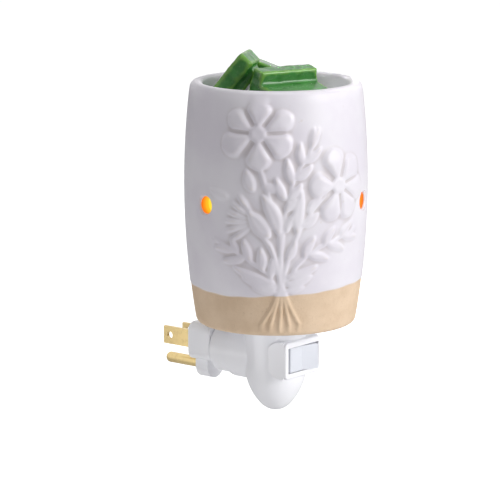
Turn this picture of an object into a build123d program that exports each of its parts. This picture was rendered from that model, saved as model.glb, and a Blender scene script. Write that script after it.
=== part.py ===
from build123d import *
from math import acos, atan2, cos, degrees, hypot, radians, sin, sqrt
import os

# Plug-in wax melt warmer: a ceramic shade with a melt dish, lifted off a plastic base.
# Millimetres, +Z up. The origin is the point where the plug's turning axis meets the
# outlet; the room is towards -Y, and the shade's axis is upright.

# Fits
FIT = 0.1  # parts that sit in one another
LOOSE = 0.3  # parts that lift off, or keep clear
RUN = 0.05  # turning pins, on the radius

# Layout
REACH = 41.0  # outlet face to the shade's axis
FOOT_Z = 15.7  # underside of the shade's foot ring

# Ceramic shade
SHADE_H = 104.8
BELLY_H = 62.4  # height of the widest place above the foot
BELLY_R = 39.3
RIM_TUCK = 2.7  # rim in from the belly
FOOT_TUCK = 5.0  # foot in from the belly
RIM_R = BELLY_R - RIM_TUCK
FOOT_R = BELLY_R - FOOT_TUCK
WALL = 4.6
RIM_ROUND = 2.1
FOOT_ROUND = 2.6
DISH_DEPTH = 12.5
DISH_DRAFT = 2.8  # how far the dish's side leans in
DISH_FLOOR_R = RIM_R - WALL - DISH_DRAFT
DISH_ROUND = 7.0
DISH_FLOOR = 5.0
CAVITY_ROUND = 6.0
FOOT_RING = 4.1  # width of the ring at the bottom
RECESS_R = FOOT_R - FOOT_RING  # foot recess that hides the seat flange
RECESS_H = 2.8
LEDGE_W = 3.8
LEDGE_R = RECESS_R - LEDGE_W  # opening inside the ledge that rests on the flange
LEDGE_H = 5.0
GLOW_R = 3.75  # light holes
GLOW_H = 55.0
GLOW_COUNT = 3
FRONT_TURN = 40.6  # how far the decorated side is turned from straight ahead

# Raised bouquet on the shade: places are (round the wall from the decorated middle, height)
BOUQUET_R = 38.5  # radius at which the way round is measured
RELIEF_H = 1.3
RELIEF_BED = 1.0  # raised forms rooted in the wall
BAND = 12.0  # forms within one band stand out the same way
PETAL_BLUNT = 0.44  # largest share of a petal's length that its round end takes up
BUTTON_R = 4.2
BUTTON_H = 2.3
BUTTON_TAPER = 25
# Open flowers: middle, then (direction, length, width) of each petal
FLOWERS = (
    ((-14.6, 103.2), ((87, 13.2, 12.6), (27, 16.4, 11.6), (-27, 15.4, 13.6),
                      (-88, 15.6, 12.6), (204, 17.4, 12.8), (150, 15.2, 11.2))),
    ((20.4, 80.2), ((100, 16.2, 12.0), (42, 15.6, 12.4), (350, 15.4, 12.4),
                    (299, 16.0, 12.0), (250, 15.6, 11.8), (178, 13.8, 12.4))),
)
# Leaves and the petals of the flower seen from the side: root, tip, width
LEAVES = (
    ((-13.6, 74.6), (-23.4, 77.4), 4.3), ((-15.2, 71.6), (-26.0, 73.6), 4.4),
    ((-17.4, 68.8), (-28.0, 69.6), 4.4), ((-19.8, 65.8), (-29.4, 65.2), 4.3),
    ((-22.0, 62.8), (-29.8, 60.8), 4.0), ((-12.4, 60.6), (-20.4, 70.0), 10.0),
    ((-5.6, 60.6), (-12.6, 77.6), 6.6), ((-16.6, 78.8), (-19.4, 88.2), 5.2),
    ((-3.2, 75.4), (-7.2, 84.8), 4.3), ((0.0, 81.8), (-2.6, 93.0), 4.3),
    ((3.9, 89.6), (3.0, 99.4), 4.0), ((7.6, 96.6), (11.9, 105.0), 3.6),
    ((-2.0, 75.8), (3.6, 82.0), 4.0), ((0.8, 84.0), (8.2, 89.8), 4.0),
    ((4.2, 90.8), (12.6, 96.6), 3.8), ((1.6, 60.8), (3.8, 79.6), 5.6),
    ((3.4, 64.0), (11.0, 69.4), 4.2), ((5.8, 69.6), (12.4, 76.6), 3.9),
    ((4.6, 50.6), (9.6, 59.0), 4.3), ((6.6, 51.2), (16.8, 48.6), 4.2),
    ((13.6, 55.6), (19.2, 62.4), 4.0), ((15.4, 55.4), (25.2, 51.8), 4.0),
    ((22.2, 58.0), (29.4, 63.8), 3.8), ((23.6, 57.6), (33.4, 56.4), 3.8),
    ((-24.4, 52.8), (-35.0, 55.4), 3.8), ((-20.4, 50.0), (-31.0, 48.2), 4.0),
    ((-17.6, 49.0), (-20.8, 58.4), 4.2), ((-12.8, 44.6), (-13.6, 54.8), 4.8),
    ((-7.6, 39.4), (-26.0, 46.2), 4.6), ((-6.8, 37.2), (-22.0, 41.8), 4.2),
    ((-2.6, 42.0), (11.4, 46.6), 4.3), ((-3.0, 38.6), (9.0, 42.4), 4.2),
)
# Fan of plain stems on the clay foot
FAN_ROOT = (-4.7, 39.5)
FAN_TIP_H = 19.2
FAN_STEMS = 5
FAN_SPREAD = 19.0
FAN_W = 2.4

# Base housing
FLANGE_R = RECESS_R - LOOSE - FIT
FLANGE_T = RECESS_H - LOOSE
BOWL_R = 13.5
BOWL_WALL = 2.0
SHOULDER_Z = -3.8  # where the straight side turns into the rounded end
BOWL_DROP = 20.4
BOWL_TIP_R = 9.0  # ball at the lower end
NECK_R = 12.1
NECK_STEP = 21.5  # distance from the outlet at which the neck steps down
NECK_BLEND = 1.5  # round where the neck leaves the bowl
COLLAR_R = 11.0
COLLAR_WALL = 3.0

# Plug
BLOCK_W = 21.4
BLOCK_H = 16.7
BLOCK_D = 12.0
BLOCK_ROUND = 4.0
BLOCK_EDGE = 0.8
BLADE_Z = 2.3  # blade line above the turning axis
BLADE_PITCH = 12.7
BLADE_T = 1.52
BLADE_W = 6.35
NEUTRAL_W = 7.9
BLADE_OUT = 17.8
BLADE_IN = 8.6
BLADE_HOLE_R = 1.6
BLADE_HOLE_BACK = 4.0  # hole behind the blade's tip
PIN_DROP = 11.9  # ground pin below the blade line
PIN_R = 2.38
PIN_OUT = 21.0
PIN_NOSE = 1.9
PIN_IN = 4.6
PIN_SHOULDER = 0.5  # root wider than the pin
LOBE_R = 5.6
LOBE_D = 6.8
SPIGOT_R = 6.8
SPIGOT_LIP = 1.8  # spigot beyond the clip
SWIVEL_GAP = 0.4
GROOVE_DEPTH = 1.2
CLIP_W = 1.8  # clip outside the spigot
CLIP_T = 1.2
CLIP_OPEN = 56.0
CLIP_ROOM = 0.8  # clip to the neck's bore

# Wiring
CABLE_R = 2.1
LEAD_R = 0.9
LEAD_RUN = 4.0  # straight stretch at each end of a lead
LEAD_BEND = 2.0
CABLE_SHORT = 14.0  # cable's inner end before the shade's axis

# Cover and screws
COVER_R = LEDGE_R - LOOSE - FIT
COVER_T = 2.5
COVER_LIP_H = 1.6
COVER_LIP_W = 1.8
TOWER_WALL = 3.0
TOWER_H = 8.0
SCREW_INSET = 6.0  # screws in from the cover's edge
SCREW_ORBIT = COVER_R - SCREW_INSET
SCREW_COUNT = 3
SCREW_R = 1.1
SCREW_HEAD_R = 2.4
SCREW_HEAD_H = 1.4
SCREW_BITE = 4.9  # shank inside the cover
BOSS_R = 3.0
BOSS_H = 5.0

# Bulb
CAP_R = 6.0
CAP_T = 0.4
CAP_H = 16.0
TIP_R = 2.2
TIP_FLAT = 1.3
TIP_H = 1.2
RING_H = 1.8
BULB_R = 11.0
BULB_H = 53.0
BULB_BELLY = 18.0  # widest place below the top
GLASS_T = 0.8
GLASS_SINK = 2.2  # glass inside the cap
STEM_R = 1.7
STEM_H = 11.0
STEM_FLARE_H = 4.0
SUPPORT_R = 0.3
SUPPORT_ROOT = 0.9
SUPPORT_SPAN = 4.4
SUPPORT_H = 11.0
SUPPORT_BED = 3.6  # wire inside the stem
SUPPORT_LOW = 1.5
SUPPORT_HIGH = 5.0
SUPPORT_BEND = 1.2
FILAMENT_R = 0.35
FILAMENT_RISE = 5.0

# Lamp socket
THREAD_ROOM = 0.45  # cap to sleeve, where the rolled threads mesh
SHELL_T = 0.45
SOCKET_BORE = CAP_R + THREAD_ROOM + SHELL_T + FIT
SOCKET_WALL = 1.7
SOCKET_R = SOCKET_BORE + SOCKET_WALL
SOCKET_LIP_W = 2.1
SOCKET_LIP_T = 2.0
SOCKET_TOP = 6.5  # socket mouth above the tower
SOCKET_DEPTH = 20.5
SOCKET_FLOOR = 3.0
SOCKET_SKIRT = 2.0
TAB_W = 3.6
TAB_IN = 0.5  # tab's middle inside the bore
TAB_DOWN = 5.4
CONTACT_W = 4.0
CONTACT_T = 0.4
CONTACT_RISE = 1.0
CONTACT_REACH = 5.0
CONTACT_KNEE = 3.6
CONTACT_CROWN = 1.6
RIVET_R = 1.2

# Switch
SWITCH_Z = 1.0
ROCKER_W = 16.0
ROCKER_H = 10.7
ROCKER_T = 4.4
ROCKER_SET = 0.3  # middle of the rocker behind the frame's front
ROCKER_V = 10.0  # slope of each half
ROCKER_SWING = 10.0  # swing to either side
ROCKER_GAP = 2.4  # box beyond the rocker's ends
ROCKER_EDGE = 0.8
PIVOT_R = 1.2
PIVOT_DEPTH = 3.6  # pivot behind the frame's front
BOX_WALL = 0.8
BOX_D = 10.0
FRAME_RIM = 1.0  # lip at the sides
FRAME_BROW = 1.6  # lip above and below
FRAME_T = 1.6
FRAME_ROUND = 2.0
FRAME_EDGE = 0.8
FRAME_PROUD = 2.0  # frame's front ahead of the bowl
BULGE_BACK = 1.9  # straight part of the switch boss
TERMINAL_W = 4.0
TERMINAL_T = 0.8
TERMINAL_X = 4.6
TERMINAL_OUT = 3.4

# Wax melts: slab (length, width, thickness), ridge (length, width, height, offset across),
# place from the middle of the dish's floor, then turn about Z, slope along and tip across
MELT_DRAFT = 4.0
MELT_ROUND = 1.4
MELTS = (
    ("wax_melt_1", (24.6, 18, 7.4), (19, 11, 4, 0), (-9.2, 19.4, 15.6), -64, -51.5, 180),
    ("wax_melt_2", (25, 13, 6), (20, 10, 5, 0), (15.4, 7.8, 14.8), -50.6, 22, 180),
    ("wax_melt_3", (30, 21, 9.8), (29, 8, 5.5, 5.6), (-1.2, -7.8, 2.2), -18.6, 0, 12),
)

# Sizes and places that follow
SEAT_Z = FOOT_Z + RECESS_H
RIM_Z = FOOT_Z + SHADE_H
DISH_Z = RIM_Z - DISH_DEPTH
COVER_TOP = SEAT_Z + COVER_T
TOWER_TOP = COVER_TOP + TOWER_H
MOUTH_Z = TOWER_TOP + SOCKET_TOP
SOCKET_BED = MOUTH_Z - SOCKET_DEPTH
SOCKET_BOTTOM = SOCKET_BED - SOCKET_FLOOR - SOCKET_SKIRT
TAB_R = SOCKET_BORE - TAB_IN
TIP_Z = SOCKET_BED + CONTACT_RISE + CONTACT_T / 2 + LOOSE / 2
CAP_Z = TIP_Z + TIP_H + RING_H
CAP_TOP = CAP_Z + CAP_H
BULB_TOP = TIP_Z + BULB_H
BOX_W = ROCKER_W + 2 * ROCKER_GAP + 2 * BOX_WALL
BOX_H = ROCKER_H + 2 * LOOSE + 2 * BOX_WALL
FRAME_W = BOX_W + 2 * FRAME_RIM
FRAME_H = BOX_H + 2 * FRAME_BROW
PIVOT_LEN = LOOSE + BOX_WALL - 2 * FIT
SWITCH_Y = -REACH - BOWL_R - FRAME_PROUD
PIVOT_Y = SWITCH_Y + PIVOT_DEPTH
TERMINAL_Y = SWITCH_Y + FRAME_T + BOX_D
PIN_Z = BLADE_Z - PIN_DROP
COLLAR_Y = BLOCK_D + SWIVEL_GAP
CLIP_Y = COLLAR_Y + COLLAR_WALL
GROOVE_R = SPIGOT_R - GROOVE_DEPTH
CLIP_R = SPIGOT_R + CLIP_W
NECK_BORE = CLIP_R + CLIP_ROOM
SPIGOT_END = CLIP_Y + CLIP_T + 2 * FIT + SPIGOT_LIP
CABLE_END = REACH - CABLE_SHORT
TAIL_X = CABLE_R + LOOSE + FIT

AXIS = Axis((0, -REACH, 0), (0, 0, 1))
SECTION = Plane(origin=(0, -REACH, 0), x_dir=(1, 0, 0), z_dir=(0, -1, 0))


def arc_radius(low, mid, high, height):
    """Radius at a height on the barrel arc through three (radius, height) points."""
    (r1, h1), (r2, h2), (r3, h3) = low, mid, high
    turn = 2 * (r1 * (h2 - h3) + r2 * (h3 - h1) + r3 * (h1 - h2))
    s1, s2, s3 = r1**2 + h1**2, r2**2 + h2**2, r3**2 + h3**2
    mid_r = (s1 * (h2 - h3) + s2 * (h3 - h1) + s3 * (h1 - h2)) / turn
    mid_h = (s1 * (r3 - r2) + s2 * (r1 - r3) + s3 * (r2 - r1)) / turn
    swing = hypot(r1 - mid_r, h1 - mid_h)
    return mid_r + sqrt(swing**2 - (height - mid_h) ** 2)


# The barrel's outside goes through these three (radius, height) points
LOW = (FOOT_R, FOOT_Z)
BELLY = (BELLY_R, FOOT_Z + BELLY_H)
HIGH = (RIM_R, RIM_Z)


def wall_radius(height):
    """Outside of the barrel at a height."""
    return arc_radius(LOW, BELLY, HIGH, height)


def wall_plane(way):
    """Upright plane through the shade's axis that faces out at a way round the wall."""
    turn = way / BOUQUET_R - radians(FRONT_TURN)
    return Plane((0, -REACH, 0), x_dir=(cos(turn), sin(turn), 0), z_dir=(sin(turn), -cos(turn), 0))


def laid(place, middle):
    """A place on the wall, seen from straight ahead of the band's middle."""
    way, height = place
    return Vector(wall_radius(height) * sin((way - middle) / BOUQUET_R), height)


def petal(root, tip, width):
    """Outline of a petal: straight from its root, round at its end."""
    reach = tip - root
    swell = min(width / 2, reach.length * PETAL_BLUNT)
    heart = tip - reach.normalized() * swell
    open_angle = degrees(acos(swell / (heart - root).length))
    to_root = (root - heart).normalized() * swell
    left = heart + to_root.rotate(Axis.Z, open_angle)
    right = heart + to_root.rotate(Axis.Z, -open_angle)
    Line(root, left)
    ThreePointArc(left, tip, right)
    Line(right, root)


def leaf(root, tip, width):
    """Outline of a leaf: two arcs that meet at root and tip."""
    middle = (root + tip) / 2
    side = (tip - root).normalized().rotate(Axis.Z, 90) * width / 2
    ThreePointArc(root, middle + side, tip)
    ThreePointArc(tip, middle - side, root)


# Raised forms as (outline, root, tip, width), gathered by the band they lie in
forms = [(leaf, *item) for item in LEAVES]
for (way, height), petals in FLOWERS:
    for angle, length, width in petals:
        tip = (way + length * cos(radians(angle)), height + length * sin(radians(angle)))
        forms.append((petal, (way, height), tip, width))
for index in range(FAN_STEMS):
    spread = FAN_SPREAD * (index / (FAN_STEMS - 1) - 0.5)
    forms.append((leaf, FAN_ROOT, (FAN_ROOT[0] + spread, FAN_TIP_H), FAN_W))
bands = {}
for outline, root, tip, width in forms:
    bands.setdefault(round((root[0] + tip[0]) / 2 / BAND) * BAND, []).append((outline, root, tip, width))

# Bouquet: outlines pushed out through the wall, trimmed to a skin that follows the barrel
with BuildPart() as bouquet:
    for middle, members in bands.items():
        with BuildSketch(wall_plane(middle)):
            for outline, root, tip, width in members:
                with BuildLine():
                    outline(laid(root, middle), laid(tip, middle), width)
                make_face()
        extrude(amount=BELLY_R + BUTTON_H)
    with BuildSketch(SECTION):
        with BuildLine():
            inner = [(radius - RELIEF_BED, height) for radius, height in (LOW, BELLY, HIGH)]
            outer = [(radius + RELIEF_H, height) for radius, height in (LOW, BELLY, HIGH)]
            ThreePointArc(*inner)
            ThreePointArc(*outer)
            Line(inner[0], outer[0])
            Line(inner[2], outer[2])
        make_face()
    revolve(axis=AXIS, mode=Mode.INTERSECT)
    for (way, height), petals in FLOWERS:
        with BuildSketch(wall_plane(way).offset(wall_radius(height) - RELIEF_BED)):
            with Locations((0, height)):
                Circle(BUTTON_R)
        extrude(amount=RELIEF_BED + BUTTON_H, taper=BUTTON_TAPER)

# Ceramic shade: barrel, dish, ledge and foot ring turned as one section
LEDGE_TOP = SEAT_Z + LEDGE_H
CAVITY_TOP = DISH_Z - DISH_FLOOR
CAVITY_LOW_R = wall_radius(LEDGE_TOP) - WALL
CAVITY_HIGH_R = wall_radius(CAVITY_TOP) - WALL
with BuildPart() as ceramic_shade:
    with BuildSketch(SECTION) as shade_section:
        with BuildLine():
            ThreePointArc(LOW, BELLY, HIGH)
            Polyline(
                HIGH,
                (RIM_R - WALL, RIM_Z),
                (DISH_FLOOR_R, DISH_Z),
                (0, DISH_Z),
                (0, CAVITY_TOP),
                (CAVITY_HIGH_R, CAVITY_TOP),
            )
            ThreePointArc(
                (CAVITY_HIGH_R, CAVITY_TOP),
                (BELLY_R - WALL, FOOT_Z + BELLY_H),
                (CAVITY_LOW_R, LEDGE_TOP),
            )
            Polyline(
                (CAVITY_LOW_R, LEDGE_TOP),
                (LEDGE_R, LEDGE_TOP),
                (LEDGE_R, SEAT_Z),
                (RECESS_R, SEAT_Z),
                (RECESS_R, FOOT_Z),
                LOW,
            )
        make_face()
        fillet(shade_section.vertices().group_by(Axis.Y)[-1], radius=RIM_ROUND)
        foot_corner = shade_section.vertices().group_by(Axis.Y)[0].sort_by(Axis.X)[-1]
        fillet(foot_corner, radius=FOOT_ROUND)
        dish_corner = shade_section.vertices().sort_by_distance((DISH_FLOOR_R, DISH_Z))[0]
        fillet(dish_corner, radius=DISH_ROUND)
        roof_corner = shade_section.vertices().sort_by_distance((CAVITY_HIGH_R, CAVITY_TOP))[0]
        fillet(roof_corner, radius=CAVITY_ROUND)
    revolve(axis=AXIS)
    add(bouquet.part)
    for index in range(GLOW_COUNT):
        turn = radians(180 - FRONT_TURN + index * 360 / GLOW_COUNT)
        outward = (sin(turn), -cos(turn), 0)
        with BuildSketch(Plane((0, -REACH, FOOT_Z + GLOW_H), z_dir=outward)):
            Circle(GLOW_R)
        extrude(amount=BELLY_R + WALL, mode=Mode.SUBTRACT)

BOWL_SIDE_R = (2 * BOWL_DROP * BOWL_TIP_R - BOWL_R**2 - BOWL_DROP**2) / (2 * BOWL_TIP_R - 2 * BOWL_R)
BOWL_TIP_ARC = 90 - degrees(atan2(BOWL_DROP - BOWL_TIP_R, BOWL_SIDE_R - BOWL_R))


def acorn(inset):
    """Half outline of the bowl set in by a wall: end ball, side arc, straight side and top."""
    bottom = (0, SHOULDER_Z - BOWL_DROP + inset)
    ball = JernArc(bottom, (1, 0), BOWL_TIP_R - inset, BOWL_TIP_ARC)
    side = JernArc(ball @ 1, ball % 1, BOWL_SIDE_R - inset, 90 - BOWL_TIP_ARC)
    Polyline(side @ 1, (BOWL_R - inset, SEAT_Z), (0, SEAT_Z), bottom)


# Base housing: acorn bowl, seat flange, neck, collar and switch boss, then hollowed
with BuildPart() as base_housing:
    with BuildSketch(SECTION):
        with BuildLine():
            acorn(0)
        make_face()
    revolve(axis=AXIS)
    with BuildSketch(Plane.XZ.offset(NECK_STEP)):
        Circle(NECK_R)
    extrude(amount=REACH - NECK_STEP)
    fillet(base_housing.edges(Select.NEW), radius=NECK_BLEND)
    with BuildSketch(Plane.YZ.offset(-FRAME_W / 2)):
        with BuildLine():
            boss_front = SWITCH_Y + FRAME_T
            boss_top = SWITCH_Z + FRAME_H / 2
            boss_low = SWITCH_Z - FRAME_H / 2
            bulge_y = boss_front + BULGE_BACK
            Polyline(
                (bulge_y, boss_top),
                (boss_front, boss_top),
                (boss_front, boss_low),
                (bulge_y, boss_low),
            )
            ThreePointArc((bulge_y, boss_low), (bulge_y + FRAME_H / 2, SWITCH_Z), (bulge_y, boss_top))
        make_face()
    extrude(amount=FRAME_W)
    with BuildSketch(Plane.XZ.offset(COLLAR_Y)):
        Circle(COLLAR_R)
    extrude(amount=NECK_STEP - COLLAR_Y)
    with BuildSketch(Plane((0, -REACH, SEAT_Z - FLANGE_T))):
        Circle(FLANGE_R)
    extrude(amount=FLANGE_T)
    with BuildSketch(SECTION):
        with BuildLine():
            acorn(BOWL_WALL)
        make_face()
    revolve(axis=AXIS, mode=Mode.SUBTRACT)
    with BuildSketch(Plane.XZ.offset(CLIP_Y)):
        Circle(NECK_BORE)
    extrude(amount=REACH - CLIP_Y, mode=Mode.SUBTRACT)
    with BuildSketch(Plane.XZ.offset(COLLAR_Y)):
        Circle(SPIGOT_R + RUN)
    extrude(amount=COLLAR_WALL, mode=Mode.SUBTRACT)
    with BuildSketch(Plane((0, SWITCH_Y, SWITCH_Z), x_dir=(1, 0, 0), z_dir=(0, 1, 0))):
        Rectangle(BOX_W + 2 * FIT, BOX_H + 2 * FIT)
    extrude(amount=FRAME_T + BOX_D + FIT, mode=Mode.SUBTRACT)
    with Locations(Plane((0, -REACH, SEAT_Z - FLANGE_T), x_dir=(0, 1, 0), z_dir=(0, 0, -1))):
        with PolarLocations(SCREW_ORBIT, SCREW_COUNT, start_angle=180):
            CounterBoreHole(
                radius=SCREW_R + LOOSE,
                counter_bore_radius=SCREW_HEAD_R + LOOSE,
                counter_bore_depth=SCREW_HEAD_H,
                depth=FLANGE_T,
            )

# Base cover: plate with a locating lip, socket tower and screw bosses
with BuildPart() as base_cover:
    with BuildSketch(Plane((0, -REACH, SEAT_Z))):
        Circle(COVER_R)
    extrude(amount=COVER_T)
    with BuildSketch(Plane((0, -REACH, COVER_TOP))):
        Circle(COVER_R)
        Circle(COVER_R - COVER_LIP_W, mode=Mode.SUBTRACT)
    extrude(amount=COVER_LIP_H)
    with BuildSketch(Plane((0, -REACH, COVER_TOP))):
        Circle(SOCKET_R + FIT + TOWER_WALL)
    extrude(amount=TOWER_H)
    with BuildSketch(Plane((0, -REACH, COVER_TOP), x_dir=(0, 1, 0))):
        with PolarLocations(SCREW_ORBIT, SCREW_COUNT, start_angle=180):
            Circle(BOSS_R)
    extrude(amount=BOSS_H)
    with BuildSketch(Plane((0, -REACH, SEAT_Z))):
        Circle(SOCKET_R + FIT)
    extrude(amount=COVER_T + TOWER_H, mode=Mode.SUBTRACT)
    with BuildSketch(Plane((0, -REACH, SEAT_Z), x_dir=(0, 1, 0))):
        with PolarLocations(SCREW_ORBIT, SCREW_COUNT, start_angle=180):
            Circle(SCREW_R + FIT / 2)
    extrude(amount=SCREW_BITE + FIT, mode=Mode.SUBTRACT)

# Cover screws, heads up in the flange's counterbores
with BuildPart() as cover_screws:
    with BuildSketch(Plane((0, -REACH, SEAT_Z - FLANGE_T), x_dir=(0, 1, 0))):
        with PolarLocations(SCREW_ORBIT, SCREW_COUNT, start_angle=180):
            Circle(SCREW_HEAD_R)
    extrude(amount=SCREW_HEAD_H)
    with BuildSketch(Plane((0, -REACH, SEAT_Z - FLANGE_T), x_dir=(0, 1, 0))):
        with PolarLocations(SCREW_ORBIT, SCREW_COUNT, start_angle=180):
            Circle(SCREW_R)
    extrude(amount=FLANGE_T + SCREW_BITE)

# Lamp socket body, hung on the tower by its lip
with BuildPart() as socket_body:
    with BuildSketch(SECTION):
        with BuildLine():
            Polyline(
                (0, SOCKET_BED),
                (SOCKET_BORE, SOCKET_BED),
                (SOCKET_BORE, MOUTH_Z),
                (SOCKET_R, MOUTH_Z),
                (SOCKET_R, TOWER_TOP + SOCKET_LIP_T),
                (SOCKET_R + SOCKET_LIP_W, TOWER_TOP + SOCKET_LIP_T),
                (SOCKET_R + SOCKET_LIP_W, TOWER_TOP),
                (SOCKET_R, TOWER_TOP),
                (SOCKET_R, SOCKET_BOTTOM),
                (SOCKET_BORE, SOCKET_BOTTOM),
                (SOCKET_BORE, SOCKET_BED - SOCKET_FLOOR),
                (0, SOCKET_BED - SOCKET_FLOOR),
                close=True,
            )
        make_face()
    revolve(axis=AXIS)
    with BuildSketch(Plane((0, -REACH, SOCKET_BED - SOCKET_FLOOR))):
        Circle(RIVET_R + FIT)
        with Locations((0, TAB_R)):
            Rectangle(TAB_W + 2 * FIT, SHELL_T + 2 * FIT)
    extrude(amount=SOCKET_FLOOR, mode=Mode.SUBTRACT)

# Socket sleeve with its solder tab through the floor
with BuildPart() as socket_shell:
    with BuildSketch(Plane((0, -REACH, SOCKET_BED + FIT))):
        Circle(SOCKET_BORE - FIT)
        Circle(SOCKET_BORE - FIT - SHELL_T, mode=Mode.SUBTRACT)
    extrude(amount=SOCKET_DEPTH - 2 * FIT)
    with BuildSketch(Plane((0, -REACH, SOCKET_BED - TAB_DOWN))):
        with Locations((0, TAB_R)):
            Rectangle(TAB_W, SHELL_T)
    extrude(amount=TAB_DOWN + TAB_W)

# Centre contact: sprung bridge with a rivet through the floor
with BuildPart() as socket_contact:
    with BuildSketch(SECTION):
        with BuildLine():
            foot = SOCKET_BED + CONTACT_T / 2
            crown = SOCKET_BED + CONTACT_RISE
            Polyline(
                (-CONTACT_REACH, foot),
                (-CONTACT_KNEE, foot),
                (-CONTACT_CROWN, crown),
                (CONTACT_CROWN, crown),
                (CONTACT_KNEE, foot),
                (CONTACT_REACH, foot),
            )
        trace(line_width=CONTACT_T)
    extrude(amount=CONTACT_W / 2, both=True)
    with BuildSketch(Plane((0, -REACH, SOCKET_BED - TAB_DOWN))):
        Circle(RIVET_R)
    extrude(amount=TAB_DOWN + CONTACT_RISE)

# Bulb: solder tip, dark ring, screw cap, glass, stem, supports and filament
with BuildPart() as bulb_contact:
    with BuildSketch(SECTION):
        with BuildLine():
            Polyline((0, TIP_Z + TIP_H), (0, TIP_Z), (TIP_FLAT, TIP_Z))
            ThreePointArc(
                (TIP_FLAT, TIP_Z),
                (TIP_R - (TIP_R - TIP_FLAT) / 4, TIP_Z + TIP_H / 3),
                (TIP_R, TIP_Z + TIP_H),
            )
            Line((TIP_R, TIP_Z + TIP_H), (0, TIP_Z + TIP_H))
        make_face()
    revolve(axis=AXIS)

with BuildPart() as bulb_insulator:
    with BuildSketch(SECTION):
        with BuildLine():
            ring_z = TIP_Z + TIP_H
            Polyline(
                (0, ring_z),
                (TIP_R + LOOSE, ring_z),
                (CAP_R - CAP_T, CAP_Z - FIT),
                (CAP_R - CAP_T - FIT, CAP_Z + RING_H),
                (0, CAP_Z + RING_H),
                close=True,
            )
        make_face()
    revolve(axis=AXIS)

with BuildPart() as bulb_cap:
    with BuildSketch(Plane((0, -REACH, CAP_Z))):
        Circle(CAP_R)
        Circle(CAP_R - CAP_T, mode=Mode.SUBTRACT)
    extrude(amount=CAP_H)

GLASS_Z = CAP_TOP - GLASS_SINK
GLASS_NECK_R = CAP_R - CAP_T - FIT
GLASS_MID = BULB_TOP - BULB_BELLY
with BuildPart() as bulb_glass:
    with BuildSketch(SECTION):
        with BuildLine():
            Spline(
                (GLASS_NECK_R, GLASS_Z + GLASS_SINK),
                (BULB_R, GLASS_MID),
                (0, BULB_TOP),
                tangents=((0.25, 1), (-1, 0)),
            )
            Polyline((0, BULB_TOP), (0, BULB_TOP - GLASS_T))
            Spline(
                (0, BULB_TOP - GLASS_T),
                (BULB_R - GLASS_T, GLASS_MID),
                (GLASS_NECK_R - GLASS_T, GLASS_Z + GLASS_SINK),
                tangents=((1, 0), (-0.25, -1)),
            )
            Polyline(
                (GLASS_NECK_R - GLASS_T, GLASS_Z + GLASS_SINK),
                (GLASS_NECK_R - GLASS_T, GLASS_Z),
                (GLASS_NECK_R, GLASS_Z),
                (GLASS_NECK_R, GLASS_Z + GLASS_SINK),
            )
        make_face()
    revolve(axis=AXIS)

STEM_FLARE = GLASS_NECK_R - GLASS_T - FIT / 2
with BuildPart() as bulb_stem:
    with BuildSketch(SECTION):
        with BuildLine():
            Polyline(
                (0, GLASS_Z),
                (STEM_FLARE, GLASS_Z),
                (STEM_FLARE, GLASS_Z + GLASS_SINK),
                (STEM_R, GLASS_Z + GLASS_SINK + STEM_FLARE_H),
                (STEM_R, GLASS_Z + STEM_H),
                (0, GLASS_Z + STEM_H),
                close=True,
            )
        make_face()
    revolve(axis=AXIS)
    with BuildSketch(Plane((0, -REACH, GLASS_Z + STEM_H))):
        with Locations((-SUPPORT_ROOT, 0), (SUPPORT_ROOT, 0)):
            Circle(SUPPORT_R + FIT / 2)
    extrude(amount=-SUPPORT_BED, mode=Mode.SUBTRACT)

SUPPORT_Z = GLASS_Z + STEM_H
with BuildPart() as bulb_supports:
    for side in (-1, 1):
        with BuildLine() as support_path:
            FilletPolyline(
                (side * SUPPORT_ROOT, -REACH, SUPPORT_Z - SUPPORT_BED),
                (side * SUPPORT_ROOT, -REACH, SUPPORT_Z + SUPPORT_LOW),
                (side * SUPPORT_SPAN, -REACH, SUPPORT_Z + SUPPORT_HIGH),
                (side * SUPPORT_SPAN, -REACH, SUPPORT_Z + SUPPORT_H),
                radius=SUPPORT_BEND,
            )
        with BuildSketch(Plane(support_path.line @ 0, z_dir=support_path.line % 0)):
            Circle(SUPPORT_R)
        sweep(path=support_path.line)

FILAMENT_Z = SUPPORT_Z + SUPPORT_H + FILAMENT_R
with BuildPart() as bulb_filament:
    with BuildLine() as filament_path:
        ThreePointArc(
            (-SUPPORT_SPAN, -REACH, FILAMENT_Z),
            (0, -REACH, FILAMENT_Z + FILAMENT_RISE),
            (SUPPORT_SPAN, -REACH, FILAMENT_Z),
        )
    with BuildSketch(Plane(filament_path.line @ 0, z_dir=filament_path.line % 0)):
        Circle(FILAMENT_R)
    sweep(path=filament_path.line)

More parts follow.
